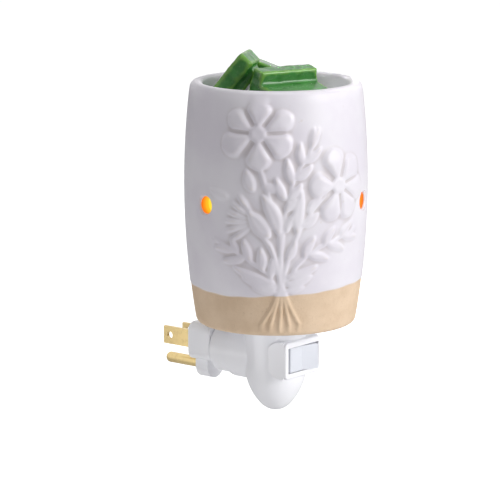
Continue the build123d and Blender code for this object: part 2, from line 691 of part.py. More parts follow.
# Switch frame and box
with BuildPart() as switch_case:
    with BuildSketch(Plane((0, SWITCH_Y, SWITCH_Z), x_dir=(1, 0, 0), z_dir=(0, 1, 0))):
        RectangleRounded(FRAME_W, FRAME_H, FRAME_ROUND)
    extrude(amount=FRAME_T)
    front_edges = switch_case.faces().sort_by(Axis.Y)[0].edges()
    fillet(front_edges, radius=FRAME_EDGE)
    with BuildSketch(Plane((0, SWITCH_Y + FRAME_T, SWITCH_Z), x_dir=(1, 0, 0), z_dir=(0, 1, 0))):
        Rectangle(BOX_W, BOX_H)
    extrude(amount=BOX_D)
    with BuildSketch(Plane((0, SWITCH_Y, SWITCH_Z), x_dir=(1, 0, 0), z_dir=(0, 1, 0))):
        Rectangle(BOX_W - 2 * BOX_WALL, BOX_H - 2 * BOX_WALL)
    extrude(amount=FRAME_T + BOX_D - BOX_WALL, mode=Mode.SUBTRACT)
    with BuildSketch(Plane((0, PIVOT_Y, SWITCH_Z))):
        Circle(PIVOT_R + RUN)
    extrude(amount=BOX_H / 2, both=True, mode=Mode.SUBTRACT)
    with BuildSketch(Plane((0, TERMINAL_Y, SWITCH_Z), x_dir=(1, 0, 0), z_dir=(0, 1, 0))):
        with Locations((-TERMINAL_X, 0), (TERMINAL_X, 0)):
            Rectangle(TERMINAL_W + 2 * FIT, TERMINAL_T + 2 * FIT)
    extrude(amount=-BOX_WALL, mode=Mode.SUBTRACT)

# Rocker, drawn straight, then swung to the side that is pressed
ROCK_PLANE = Plane(origin=(0, PIVOT_Y, SWITCH_Z), x_dir=(1, 0, 0)).rotated((0, 0, -ROCKER_SWING))
with BuildPart() as switch_rocker:
    with BuildSketch(ROCK_PLANE):
        with BuildLine():
            half = ROCKER_W / 2
            crease = ROCKER_SET - PIVOT_DEPTH
            wing = crease - half * sin(radians(ROCKER_V))
            back = crease + ROCKER_T
            Polyline((-half, wing), (0, crease), (half, wing), (half, wing + ROCKER_T / 2))
            Polyline((half, wing + ROCKER_T / 2), (half / 2, back), (0, back + PIVOT_R))
            Polyline((0, back + PIVOT_R), (-half / 2, back), (-half, wing + ROCKER_T / 2), (-half, wing))
        make_face()
    extrude(amount=ROCKER_H / 2, both=True)
    for end in (-half, half):
        corner = (end, PIVOT_Y + wing, SWITCH_Z)
        wing_edge = switch_rocker.edges().filter_by(Axis.Z).sort_by_distance(corner)[0]
        fillet(wing_edge, radius=ROCKER_EDGE)
    with BuildSketch(Plane((0, PIVOT_Y, SWITCH_Z))):
        Circle(PIVOT_R)
    extrude(amount=ROCKER_H / 2 + PIVOT_LEN, both=True)

# Switch terminals through the back of the box
with BuildPart() as switch_terminals:
    with BuildSketch(Plane((0, TERMINAL_Y - 2 * BOX_WALL, SWITCH_Z), x_dir=(1, 0, 0), z_dir=(0, 1, 0))):
        with Locations((-TERMINAL_X, 0), (TERMINAL_X, 0)):
            Rectangle(TERMINAL_W, TERMINAL_T)
    extrude(amount=2 * BOX_WALL + TERMINAL_OUT)

# Plug: block with the ground lobe, spigot with clip groove, slots for the blades
with BuildPart() as plug_body:
    with BuildSketch(Plane.XZ):
        with Locations((0, BLADE_Z)):
            RectangleRounded(BLOCK_W, BLOCK_H, BLOCK_ROUND)
    extrude(amount=BLOCK_D)
    with BuildSketch(Plane.XZ):
        with Locations((0, PIN_Z)):
            Circle(LOBE_R)
        with Locations((0, PIN_Z / 2)):
            Rectangle(2 * LOBE_R, -PIN_Z)
    extrude(amount=LOBE_D)
    fillet(plug_body.faces().sort_by(Axis.Y)[0].edges(), radius=BLOCK_EDGE)
    with BuildSketch(Plane.XZ.offset(BLOCK_D)):
        Circle(SPIGOT_R)
    extrude(amount=SPIGOT_END - BLOCK_D)
    with BuildSketch(Plane.XZ.offset(CLIP_Y)):
        Circle(SPIGOT_R)
        Circle(GROOVE_R, mode=Mode.SUBTRACT)
    extrude(amount=CLIP_T + 2 * FIT, mode=Mode.SUBTRACT)
    with BuildSketch(Plane.XZ.offset(BLADE_IN - BLADE_T)):
        Circle(CABLE_R + LOOSE)
    extrude(amount=SPIGOT_END - BLADE_IN + BLADE_T, mode=Mode.SUBTRACT)
    for side, width in ((-1, NEUTRAL_W), (1, BLADE_W)):
        with BuildSketch(Plane.XY.offset(BLADE_Z)):
            with BuildLine():
                Polyline(
                    (side * BLADE_PITCH / 2, 1),
                    (side * BLADE_PITCH / 2, -BLADE_IN + BLADE_T / 2),
                    (side * TAIL_X, -BLADE_IN + BLADE_T / 2),
                )
            trace(line_width=BLADE_T + 2 * FIT)
        extrude(amount=width / 2 + FIT, both=True, mode=Mode.SUBTRACT)
    with BuildSketch(Plane.XZ):
        with Locations((0, PIN_Z)):
            Circle(PIN_R + PIN_SHOULDER + FIT)
    extrude(amount=PIN_IN + FIT, mode=Mode.SUBTRACT)

# Blades with their tails turned in towards the cable
with BuildPart() as hot_blade:
    with BuildSketch(Plane.XY.offset(BLADE_Z)):
        with BuildLine():
            hot_x = BLADE_PITCH / 2
            hot_tail = -BLADE_IN + BLADE_T / 2
            Polyline((hot_x, BLADE_OUT), (hot_x, hot_tail), (TAIL_X, hot_tail))
        trace(line_width=BLADE_T)
    extrude(amount=BLADE_W / 2, both=True)
    chamfer(hot_blade.faces().sort_by(Axis.Y)[-1].edges(), length=BLADE_T / 3)
    with BuildSketch(Plane.YZ.offset(hot_x)):
        with Locations((BLADE_OUT - BLADE_HOLE_BACK, BLADE_Z)):
            Circle(BLADE_HOLE_R)
    extrude(amount=BLADE_T, both=True, mode=Mode.SUBTRACT)

with BuildPart() as neutral_blade:
    with BuildSketch(Plane.XY.offset(BLADE_Z)):
        with BuildLine():
            cold_x = -BLADE_PITCH / 2
            cold_tail = -BLADE_IN + BLADE_T / 2
            Polyline((cold_x, BLADE_OUT), (cold_x, cold_tail), (-TAIL_X, cold_tail))
        trace(line_width=BLADE_T)
    extrude(amount=NEUTRAL_W / 2, both=True)
    chamfer(neutral_blade.faces().sort_by(Axis.Y)[-1].edges(), length=BLADE_T / 3)
    with BuildSketch(Plane.YZ.offset(cold_x)):
        with Locations((BLADE_OUT - BLADE_HOLE_BACK, BLADE_Z)):
            Circle(BLADE_HOLE_R)
    extrude(amount=BLADE_T, both=True, mode=Mode.SUBTRACT)

with BuildPart() as ground_pin:
    with BuildSketch(Plane.XZ):
        with Locations((0, PIN_Z)):
            Circle(PIN_R)
    extrude(amount=-PIN_OUT)
    fillet(ground_pin.faces().sort_by(Axis.Y)[-1].edges(), radius=PIN_NOSE)
    with BuildSketch(Plane.XZ):
        with Locations((0, PIN_Z)):
            Circle(PIN_R + PIN_SHOULDER)
    extrude(amount=PIN_IN)

# Open ring in the spigot's groove
with BuildPart() as swivel_clip:
    with BuildSketch(Plane.XZ.offset(CLIP_Y + FIT)):
        Circle(CLIP_R)
        Circle(GROOVE_R + FIT, mode=Mode.SUBTRACT)
        with BuildLine():
            jaw = 2 * CLIP_R * sin(radians(CLIP_OPEN / 2))
            Polyline((0, 0), (jaw, 2 * CLIP_R), (-jaw, 2 * CLIP_R), (0, 0))
        make_face(mode=Mode.SUBTRACT)
    extrude(amount=CLIP_T)

# Wiring: one round cable on the turning axis, then single leads
with BuildPart() as supply_cable:
    with BuildSketch(Plane.XZ.offset(BLADE_IN - BLADE_T)):
        Circle(CABLE_R)
    extrude(amount=CABLE_END - BLADE_IN + BLADE_T)

TAB_Y = -REACH + TAB_R
TERMINAL_END = TERMINAL_Y + TERMINAL_OUT
LEAD_X = CABLE_R - LEAD_R
with BuildPart() as hot_lead:
    with BuildLine() as hot_path:
        FilletPolyline(
            (-LEAD_X, -CABLE_END - FIT, 0),
            (-LEAD_X, -CABLE_END - LEAD_RUN, 0),
            (-TERMINAL_X, TERMINAL_END + LEAD_RUN, SWITCH_Z),
            (-TERMINAL_X, TERMINAL_END + FIT, SWITCH_Z),
            radius=LEAD_BEND,
        )
    with BuildSketch(Plane(hot_path.line @ 0, z_dir=hot_path.line % 0)):
        Circle(LEAD_R)
    sweep(path=hot_path.line)

LIFT_Z = SOCKET_BED - TAB_DOWN - FIT
with BuildPart() as neutral_lead:
    with BuildLine() as cold_path:
        FilletPolyline(
            (LEAD_X, -CABLE_END - FIT, 0),
            (LEAD_X, -CABLE_END - LEAD_RUN, 0),
            (0, TAB_Y, LIFT_Z - LEAD_RUN),
            (0, TAB_Y, LIFT_Z),
            radius=LEAD_BEND,
        )
    with BuildSketch(Plane(cold_path.line @ 0, z_dir=cold_path.line % 0)):
        Circle(LEAD_R)
    sweep(path=cold_path.line)

with BuildPart() as switch_lead:
    with BuildLine() as switch_path:
        FilletPolyline(
            (TERMINAL_X, TERMINAL_END + FIT, SWITCH_Z),
            (TERMINAL_X, TERMINAL_END + LEAD_RUN, SWITCH_Z),
            (0, -REACH, LIFT_Z - LEAD_RUN),
            (0, -REACH, LIFT_Z),
            radius=LEAD_BEND,
        )
    with BuildSketch(Plane(switch_path.line @ 0, z_dir=switch_path.line % 0)):
        Circle(LEAD_R)
    sweep(path=switch_path.line)

# Wax melts, each at its own tilt in the dish
melts = {}
for melt_name, slab, ridge, spot, turn, slope, tip in MELTS:
    middle = Location((spot[0], spot[1] - REACH, spot[2] + DISH_Z))
    bed = Plane(middle * Rotation(0, 0, turn) * Rotation(0, slope, 0) * Rotation(tip, 0, 0))
    with BuildPart() as melt:
        with BuildSketch(bed):
            RectangleRounded(slab[0], slab[1], MELT_ROUND)
        extrude(amount=slab[2], taper=MELT_DRAFT)
        slab_rims = melt.faces().filter_by(bed).edges()
        fillet(slab_rims, radius=MELT_ROUND / 2)
        with BuildSketch(bed.offset(slab[2] - MELT_ROUND)):
            with Locations((0, ridge[3])):
                RectangleRounded(ridge[0], ridge[1], MELT_ROUND)
        extrude(amount=ridge[2] + MELT_ROUND, taper=MELT_DRAFT)
        ridge_top = melt.faces().sort_by(Axis(bed.origin, bed.z_dir))[-1]
        fillet(ridge_top.edges(), radius=MELT_ROUND / 2)
    melts[melt_name] = melt

# Names and files
pieces = {
    "ceramic_shade": ceramic_shade,
    "base_housing": base_housing,
    "base_cover": base_cover,
    "cover_screws": cover_screws,
    "socket_body": socket_body,
    "socket_shell": socket_shell,
    "socket_contact": socket_contact,
    "bulb_contact": bulb_contact,
    "bulb_insulator": bulb_insulator,
    "bulb_cap": bulb_cap,
    "bulb_glass": bulb_glass,
    "bulb_stem": bulb_stem,
    "bulb_supports": bulb_supports,
    "bulb_filament": bulb_filament,
    "switch_case": switch_case,
    "switch_rocker": switch_rocker,
    "switch_terminals": switch_terminals,
    "plug_body": plug_body,
    "hot_blade": hot_blade,
    "neutral_blade": neutral_blade,
    "ground_pin": ground_pin,
    "swivel_clip": swivel_clip,
    "supply_cable": supply_cable,
    "hot_lead": hot_lead,
    "neutral_lead": neutral_lead,
    "switch_lead": switch_lead,
}
pieces.update(melts)
os.makedirs("parts", exist_ok=True)
for node, piece in pieces.items():
    piece.part.label = node.replace("_", " ")
    export_step(piece.part, f"parts/{node}.step")
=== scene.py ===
import math

import bpy
import numpy as np
from mathutils import Matrix, Vector


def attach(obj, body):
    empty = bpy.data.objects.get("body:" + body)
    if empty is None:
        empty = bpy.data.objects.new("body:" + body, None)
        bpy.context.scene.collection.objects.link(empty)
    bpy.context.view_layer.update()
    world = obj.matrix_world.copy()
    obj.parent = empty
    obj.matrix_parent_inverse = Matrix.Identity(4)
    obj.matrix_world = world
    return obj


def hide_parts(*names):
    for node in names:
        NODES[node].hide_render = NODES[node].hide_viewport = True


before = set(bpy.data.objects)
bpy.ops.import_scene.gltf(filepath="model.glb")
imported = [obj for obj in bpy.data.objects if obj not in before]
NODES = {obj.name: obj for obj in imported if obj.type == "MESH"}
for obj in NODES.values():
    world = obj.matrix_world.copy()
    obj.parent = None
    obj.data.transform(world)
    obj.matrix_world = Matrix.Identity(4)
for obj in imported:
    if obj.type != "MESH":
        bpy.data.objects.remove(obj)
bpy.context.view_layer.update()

MM = 0.001

# Places and sizes of the warmer, in millimetres, as its parts have them
SHADE_Y = -41.0
FOOT_Z, RIM_Z = 15.7, 120.5
FOOT_R, RIM_R = 34.3, 36.6
BELLY_R, BELLY_Z = 39.3, 78.1
WALL = 4.6
DISH_Z, DISH_FLOOR_R = 108.0, 29.2
ROOF_Z = 103.0
LEDGE_TOP, LEDGE_R = 23.5, 26.4
SEAT_Z, RECESS_R = 18.5, 30.2
RIM_ROUND, FOOT_ROUND, RECESS_ROUND = 2.1, 2.6, 0.5
DISH_ROUND, ROOF_ROUND = 7.0, 6.0
FRONT = 229.4  # plan angle of the decorated middle, in degrees
GLOW_Z, GLOW_R = 70.7, 3.75
GLOW_ANGLES = [FRONT + 180 + turn for turn in (0, 120, 240)]
GLAZE_LINE = 33.4  # height at which the dipped glaze ends


# Hand tools: pieces start from a primitive and are worked on as the picked mesh

WELD = 2e-6  # metres within which a turned piece's points become one


def lay_down_tools():
    if bpy.context.object and bpy.context.object.mode != "OBJECT":
        bpy.ops.object.mode_set(mode="OBJECT")
    bpy.ops.object.select_all(action="DESELECT")


def take(piece):
    lay_down_tools()
    piece.select_set(True)
    bpy.context.view_layer.objects.active = piece


def fresh(name):
    piece = bpy.context.object
    piece.name = name
    piece.data.name = name
    return piece


def turned(name, outline, sweeps, at=(0, 0, 0), axis=(0, 0, 1), side=(1, 0, 0)):
    """Lathe: an outline of (radius, height) points, spun in sweeps of (steps, degrees)."""
    at, axis, side = Vector(at) * MM, Vector(axis), Vector(side)
    spots = [at + side * (r * MM) + axis * (h * MM) for r, h in outline]
    lay_down_tools()
    bpy.ops.mesh.primitive_plane_add(size=MM)
    piece = fresh(name)
    bpy.ops.object.mode_set(mode="EDIT")
    bpy.ops.mesh.select_mode(type="VERT")
    bpy.ops.mesh.select_all(action="SELECT")
    bpy.ops.mesh.merge(type="CENTER")
    bpy.ops.transform.translate(value=spots[0])
    for here, there in zip(spots, spots[1:]):
        bpy.ops.mesh.extrude_vertices_move(TRANSFORM_OT_translate={"value": there - here})
    bpy.ops.mesh.select_all(action="SELECT")
    for steps, degrees in sweeps:
        bpy.ops.mesh.spin(steps=steps, angle=math.radians(degrees), center=at, axis=axis)
    bpy.ops.mesh.select_all(action="SELECT")
    bpy.ops.mesh.remove_doubles(threshold=WELD)
    bpy.ops.mesh.normals_make_consistent(inside=False)
    bpy.ops.object.mode_set(mode="OBJECT")
    return piece


def modify(piece, kind, **settings):
    take(piece)
    tool = piece.modifiers.new(kind.lower(), kind)
    for key, value in settings.items():
        setattr(tool, key, value)
    bpy.ops.object.modifier_apply(modifier=tool.name)


def smooth(piece, degrees=40):
    take(piece)
    bpy.ops.object.shade_smooth_by_angle(angle=math.radians(degrees))


def rounded(corners, step=0.6):
    """Outline through (radius, height, rounding) corners, with an arc at each rounding."""
    line = []
    for i, (r, h, rounding) in enumerate(corners):
        here = Vector((r, h))
        if rounding == 0 or i in (0, len(corners) - 1):
            line.append(tuple(here))
            continue
        back = (Vector(corners[i - 1][:2]) - here).normalized()
        on = (Vector(corners[i + 1][:2]) - here).normalized()
        half = back.angle(on) / 2
        middle = here + (back + on).normalized() * (rounding / math.sin(half))
        first = here + back * (rounding / math.tan(half)) - middle
        last = here + on * (rounding / math.tan(half)) - middle
        swing = first.angle(last)
        count = max(4, round(swing * rounding / step))
        for k in range(count + 1):
            share = k / count
            arm = first * math.sin((1 - share) * swing) + last * math.sin(share * swing)
            line.append(tuple(middle + arm / math.sin(swing)))
    return line


# Ceramic shade

def barrel(z):
    """Outside radius of the shade at a height, on the arc through foot, belly and rim."""
    (r1, h1), (r2, h2), (r3, h3) = (FOOT_R, FOOT_Z), (BELLY_R, BELLY_Z), (RIM_R, RIM_Z)
    turn = 2 * (r1 * (h2 - h3) + r2 * (h3 - h1) + r3 * (h1 - h2))
    s1, s2, s3 = r1**2 + h1**2, r2**2 + h2**2, r3**2 + h3**2
    mid_r = (s1 * (h2 - h3) + s2 * (h3 - h1) + s3 * (h1 - h2)) / turn
    mid_h = (s1 * (r3 - r2) + s2 * (r1 - r3) + s3 * (r2 - r1)) / turn
    swing = math.hypot(r1 - mid_r, h1 - mid_h)
    return mid_r + np.sqrt(swing**2 - (z - mid_h) ** 2)


# Heights at which the section has points: first, last and step
WALL_HEIGHTS = (115.5, 20.9, -0.45)
CAVITY_HEIGHTS = (28.0, 94.0, 3.0)
DISH_RINGS = (0, 6, 12, 18)
ROOF_RINGS = (15, 0)


def shade_outline():
    """Section of the shade: dish, rim, outside wall, foot, seat, cavity and roof."""
    corners = [(r, DISH_Z, 0) for r in DISH_RINGS]
    corners += [(DISH_FLOOR_R, DISH_Z, DISH_ROUND)]
    corners += [(RIM_R - WALL, RIM_Z, RIM_ROUND), (RIM_R, RIM_Z, RIM_ROUND)]
    corners += [(float(barrel(z)), float(z), 0) for z in np.arange(*WALL_HEIGHTS)]
    corners += [(FOOT_R, FOOT_Z, FOOT_ROUND), (RECESS_R, FOOT_Z, RECESS_ROUND)]
    corners += [(RECESS_R, SEAT_Z, 0), (LEDGE_R, SEAT_Z, 0), (LEDGE_R, LEDGE_TOP, 0)]
    corners += [(float(barrel(LEDGE_TOP)) - WALL, LEDGE_TOP, 0)]
    corners += [(float(barrel(z)) - WALL, float(z), 0) for z in np.arange(*CAVITY_HEIGHTS)]
    corners += [(float(barrel(ROOF_Z)) - WALL, ROOF_Z, ROOF_ROUND)]
    corners += [(r, ROOF_Z, 0) for r in ROOF_RINGS]
    return rounded(corners)


# Raised bouquet on the shade, in millimetres round the belly (u) and up (v)

ROUND = 38.5  # radius that turns an angle into u
GRID = 0.3
U_AXIS = np.arange(-48.0, 50.0, GRID)
V_AXIS = np.arange(14.0, 122.0, GRID)
U, V = np.meshgrid(U_AXIS, V_AXIS)


def ease(value, low, high):
    t = np.clip((value - low) / (high - low), 0, 1)
    return t * t * (3 - 2 * t)


def along(root, tip, bow=0.0):
    """Share of the way from root to tip, and distance across, bowed sideways."""
    du, dv = tip[0] - root[0], tip[1] - root[1]
    length = math.hypot(du, dv)
    du, dv = du / length, dv / length
    s = ((U - root[0]) * du + (V - root[1]) * dv) / length
    across = (V - root[1]) * du - (U - root[0]) * dv
    return s, across - 4 * bow * np.clip(s, 0, 1) * (1 - np.clip(s, 0, 1))


WIDEST = 0.68  # share of a petal's length at which it is widest
PETAL_ROOT = 0.08  # share of its width that a petal has at the flower's middle
PETAL_END = 2.4  # how blunt a petal's end is
CREASE, CREASE_W = 0.10, 0.6  # share of a petal's height, and width in millimetres
FULLER = 1.32  # leaves swell under the glaze
GROOVE, GROOVE_W = 0.28, 0.5  # share of a leaf's height, and width in millimetres
GROOVED_FROM = 3  # width above which a leaf has its groove


def petal(centre, degrees, length, width, height):
    """Soft petal: a wedge from the flower's middle, round at its end, fading into the wall."""
    a = math.radians(degrees)
    tip = (centre[0] + length * math.cos(a), centre[1] + length * math.sin(a))
    s, t = along(centre, tip)
    swell = PETAL_ROOT + (1 - PETAL_ROOT) * np.clip(s / WIDEST, 0, 1)
    end = np.clip(1 - (np.clip(s - WIDEST, 0, 1) / (1 - WIDEST)) ** PETAL_END, 0, 1) ** 0.5
    half = width / 2 * np.where(s < WIDEST, swell, end)
    inside = np.where((s > 0.05) & (s < 1), half - np.abs(t), -1)
    pillow = ease(inside, -0.3, 2.7)
    crease = CREASE * np.exp(-((t / CREASE_W) ** 2)) * ease(0.8 - s, 0, 0.4)
    fade = ease(s, 0.04, 0.28) * (1 - 0.45 * ease(s, 0.55, 1.0))
    return height * (pillow - crease) * fade


def leaf(root, tip, width, height=1.1, bow=0.0):
    """Pointed leaf, domed across, with a fine groove down the middle."""
    s, t = along(root, tip, bow)
    inside = np.clip(s, 0, 1)
    half = FULLER * width / 2 * np.sin(math.pi * inside**0.8) ** 0.75 + 1e-3
    dome = np.clip(1 - (t / half) ** 2, 0, 1) ** 0.8
    groove = GROOVE * np.exp(-((t / GROOVE_W) ** 2))
    groove = groove * ease(inside, 0.05, 0.3) * ease(0.95 - inside, 0, 0.3)
    return np.where((s > 0) & (s < 1), height * (dome - groove * (width > GROOVED_FROM)), 0)


def stem(path, thick, height):
    """Half-round stem along a run of points."""
    far = np.full(U.shape, 1e9)
    for (u0, v0), (u1, v1) in zip(path, path[1:]):
        du, dv = u1 - u0, v1 - v0
        s = np.clip(((U - u0) * du + (V - v0) * dv) / (du * du + dv * dv), 0, 1)
        far = np.minimum(far, np.hypot(U - u0 - s * du, V - v0 - s * dv))
    return height * np.sqrt(np.clip(1 - (far / thick) ** 2, 0, 1))


def arc_path(points, count=14):
    """Smooth run through a few points, each stretch bent by its neighbours."""
    p = [np.array(q, float) for q in points]
    p = [2 * p[0] - p[1]] + p + [2 * p[-1] - p[-2]]
    run = []
    for a, b, c, d in zip(p, p[1:], p[2:], p[3:]):
        for k in range(count):
            x = k / count
            run.append(0.5 * (2 * b + (c - a) * x + (2 * a - 5 * b + 4 * c - d) * x**2
                              + (3 * b - a - 3 * c + d) * x**3))
    return [tuple(q) for q in run] + [tuple(p[-2])]


def button(centre, radius, height):
    """Middle of a flower: a low disc with a round edge and a dent."""
    far = np.hypot(U - centre[0], V - centre[1])
    return height * (ease(radius - far, -0.2, 1.3) - 0.12 * np.exp(-((far / 1.6) ** 2)))


# Open flowers: middle, its radius, then (direction, length, width) of each petal
PETAL_RISE, BUTTON_RISE = 1.45, 1.3
OPEN_FLOWERS = (
    ((-14.6, 103.2), 4.3, ((87, 13.6, 11.8), (27, 16.4, 10.6), (-27, 15.4, 12.6),
                           (-88, 15.6, 11.6), (204, 17.4, 12.2), (150, 15.2, 10.2))),
    ((20.4, 80.2), 4.2, ((100, 16.2, 12.0), (42, 15.6, 12.4), (350, 15.8, 12.4),
                         (299, 16.0, 12.0), (250, 15.6, 11.8), (178, 13.8, 12.4))),
)
# Flower seen from the side: petals as above, and the cup under them as a leaf
SIDE_RISE = 1.9
SIDE_MIDDLE = (-14.0, 66.0)
SIDE_PETALS = ((129, 14.6, 4.0), (147, 14.4, 3.9), (165, 14.6, 3.9),
               (182, 15.4, 3.9), (198, 16.4, 3.8), (215, 16.0, 3.6))
SIDE_CUP = ((-9.6, 59.4), (-18.4, 70.4), 6.4, 1.25)
# Stems: points, half width, height; the last five are the fan on the clay foot
STEMS = (
    (((-13.9, 89), (-10.9, 79.6), (-6.4, 65.4), (-5.4, 53.9), (-5.0, 36)), 0.8, 0.6),
    (((-15.6, 62.4), (-10.6, 57.2), (-7.6, 50.5), (-5.8, 42), (-5.2, 36)), 0.95, 0.8),
    (((11.6, 103.4), (5.9, 93.3), (0.8, 85.1), (-2.6, 72.5), (-4.4, 58.2), (-4.8, 40)), 0.7, 0.55),
    (((14.6, 76.5), (8.2, 70.4), (2.4, 61.4), (-2.2, 49), (-4.0, 38)), 0.8, 0.6),
    (((31, 60), (22, 57.6), (12, 54.4), (3.6, 48.8), (-2.4, 40.4)), 0.7, 0.6),
    (((-35, 57), (-26.6, 53.4), (-17.6, 48.6), (-9.6, 42.2), (-6.2, 37.0)), 0.7, 0.6),
    (((-5.2, 38.5), (-8.6, 29), (-14.6, 19.8)), 0.95, 0.75),
    (((-4.9, 38.5), (-7.2, 29), (-10.2, 18.8)), 0.95, 0.75),
    (((-4.7, 38.5), (-4.9, 29), (-5.4, 18.4)), 0.95, 0.75),
    (((-4.5, 38.5), (-2.8, 29), (-0.6, 18.7)), 0.95, 0.75),
    (((-4.2, 38.5), (-1.0, 29.4), (4.4, 19.8)), 0.95, 0.75),
)
# Leaves: root, tip, width, height, sideways bow
LEAVES = (
    # broad leaves under the two upper flowers
    ((-5.6, 60.6), (-12.6, 77.6), 5.6, 1.15, -0.9), ((-16.6, 78.8), (-19.4, 88.2), 4.4, 1.0, 0.3),
    ((-12.4, 81.0), (-5.6, 78.6), 3.4, 0.8, 0.5), ((-27.4, 75.6), (-37.0, 78.4), 3.6, 0.6, 0.4),
    # feathered sprig in the middle
    ((-3.2, 75.4), (-7.2, 84.8), 3.5, 1.05, 0.4), ((0.0, 81.8), (-2.6, 93.0), 3.5, 1.05, 0.4),
    ((3.9, 89.6), (3.0, 99.4), 3.3, 1.0, 0.4), ((7.6, 96.6), (11.9, 105.0), 2.9, 0.95, 0.2),
    ((-3.4, 70.6), (1.2, 76.0), 3.2, 1.0, -0.3), ((-2.0, 75.8), (3.6, 82.0), 3.3, 1.0, -0.4),
    ((0.8, 84.0), (8.2, 89.8), 3.3, 1.0, -0.4), ((4.2, 90.8), (12.6, 96.6), 3.1, 1.0, -0.3),
    ((8.0, 97.0), (9.6, 105.4), 2.4, 0.8, 0.2),
    # leaves of the right-hand flower's stem
    ((1.6, 60.8), (3.8, 79.6), 4.6, 1.05, 0.5), ((3.4, 64.0), (11.0, 69.4), 3.4, 0.9, -0.5),
    ((-3.0, 61.6), (0.6, 70.4), 3.0, 0.9, 0.3), ((5.8, 69.6), (12.4, 76.6), 3.2, 0.8, 0.3),
    # right sprig
    ((4.6, 50.6), (9.6, 59.0), 3.5, 1.0, 0.4), ((6.6, 51.2), (16.8, 48.6), 3.4, 1.0, 0.5),
    ((13.6, 55.6), (19.2, 62.4), 3.3, 0.95, 0.3), ((15.4, 55.4), (25.2, 51.8), 3.2, 0.9, 0.5),
    ((22.2, 58.0), (29.4, 63.8), 3.0, 0.85, 0.3), ((23.6, 57.6), (33.4, 56.4), 3.0, 0.85, 0.3),
    ((-2.6, 49.4), (1.2, 57.8), 3.3, 0.95, -0.3),
    # left sprig
    ((-24.4, 52.8), (-35.0, 53.4), 3.0, 0.9, -0.3), ((-20.4, 50.0), (-31.0, 48.2), 3.2, 0.95, 0.4),
    ((-23.0, 52.4), (-26.4, 58.6), 2.8, 0.85, 0.3), ((-17.6, 49.0), (-20.8, 58.4), 3.4, 1.05, 0.4),
    ((-12.8, 44.6), (-13.6, 54.8), 3.9, 1.05, -0.3), ((-9.2, 41.6), (-9.0, 50.6), 3.2, 1.0, -0.3),
    # long leaves at the foot of the bunch
    ((-7.6, 39.4), (-26.0, 46.2), 3.7, 1.05, 0.8), ((-6.8, 37.2), (-22.0, 41.8), 3.4, 1.0, 0.6),
    ((-6.4, 35.6), (-17.2, 37.4), 2.8, 0.85, 0.4), ((-2.6, 42.0), (11.4, 46.6), 3.5, 1.0, -0.7),
    ((-3.0, 38.6), (9.0, 42.4), 3.4, 0.95, -0.6), ((-3.0, 36.2), (5.4, 37.6), 2.6, 0.8, -0.3),
)


def soften(field, reach):
    """Blur of the relief, as glaze rounds it: a bell of that reach in millimetres, both ways."""
    span = int(3 * reach / GRID) + 1
    bell = np.exp(-0.5 * (np.arange(-span, span + 1) * GRID / reach) ** 2)
    bell /= bell.sum()
    for way in (0, 1):
        field = np.apply_along_axis(lambda row: np.convolve(row, bell, mode="same"), way, field)
    return field


def bouquet():
    """Height of the raised flowers over the wall, as a grid in millimetres."""
    height = np.zeros(U.shape)
    for path, thick, rise in STEMS:
        height = np.maximum(height, stem(arc_path(path), thick, rise))
    for root, tip, width, rise, bow in LEAVES:
        height = np.maximum(height, leaf(root, tip, width, rise, bow))
    for degrees, length, width in SIDE_PETALS:
        height = np.maximum(height, petal(SIDE_MIDDLE, degrees, length, width, SIDE_RISE))
    height = np.maximum(height, leaf(*SIDE_CUP))
    for centre, middle, petals in OPEN_FLOWERS:
        for degrees, length, width in petals:
            height = np.maximum(height, petal(centre, degrees, length, width, PETAL_RISE))
        height = np.maximum(height, button(centre, middle, BUTTON_RISE))
    return height


def read_grid(field, u, v):
    """The grid's value between its points."""
    x = np.clip((u - U_AXIS[0]) / GRID, 0, len(U_AXIS) - 1.001)
    y = np.clip((v - V_AXIS[0]) / GRID, 0, len(V_AXIS) - 1.001)
    i, j = x.astype(int), y.astype(int)
    fx, fy = x - i, y - j
    low = field[j, i] * (1 - fx) + field[j, i + 1] * fx
    high = field[j + 1, i] * (1 - fx) + field[j + 1, i + 1] * fx
    return low * (1 - fy) + high * fy


# Waves of the glaze's edge round the foot: height, count in a turn, start
EDGE_WAVES = ((0.55, 2, 0.6), (0.35, 5, 2.0), (0.12, 18, 0.0))
EDGE_RISE = 1.7  # how far the edge climbs towards the right
GLAZE_STEP = 0.28  # how far the glaze stands out from the clay
RELIEF_LIFT = 1.2
GLAZED_BLUR, CLAY_BLUR = 0.55, 0.25  # rounding of the relief under glaze and on clay
FINE_SWEEP, PLAIN_SWEEP = (200, 130), (64, 230)  # steps and degrees, decorated side first
HALF_FINE = 66  # degrees from the decorated middle to the first sweep's start


def glazed(u, z):
    """Share of glaze at a place: none under its uneven dipped edge, all above it."""
    turn = u / ROUND
    wave = sum(high * np.sin(count * turn + start) for high, count, start in EDGE_WAVES)
    edge = GLAZE_LINE + wave + EDGE_RISE * ease(u, -2, 30) * ease(120 - u, 0, 60)
    return ease(z, edge - 0.35, edge + 0.25)


def points_of(piece):
    spots = np.empty(len(piece.data.vertices) * 3)
    piece.data.vertices.foreach_get("co", spots)
    return spots.reshape(-1, 3) / MM


def shade_places(shade):
    """Each point's place from the shade's axis, its u, and whether it lies on the outside wall."""
    spots = points_of(shade)
    x, y, z = spots[:, 0], spots[:, 1] - SHADE_Y, spots[:, 2]
    radius = np.hypot(x, y)
    turn = (np.degrees(np.arctan2(y, x)) - FRONT + 180) % 360 - 180
    wall = barrel(np.clip(z, FOOT_Z, RIM_Z))
    outer = ease(radius, wall - 1.2, wall - 0.15) * ease(z, 16.4, 18.6) * ease(RIM_Z - z, 1.0, 2.6)
    return x, y, z, radius, np.radians(turn) * ROUND, outer


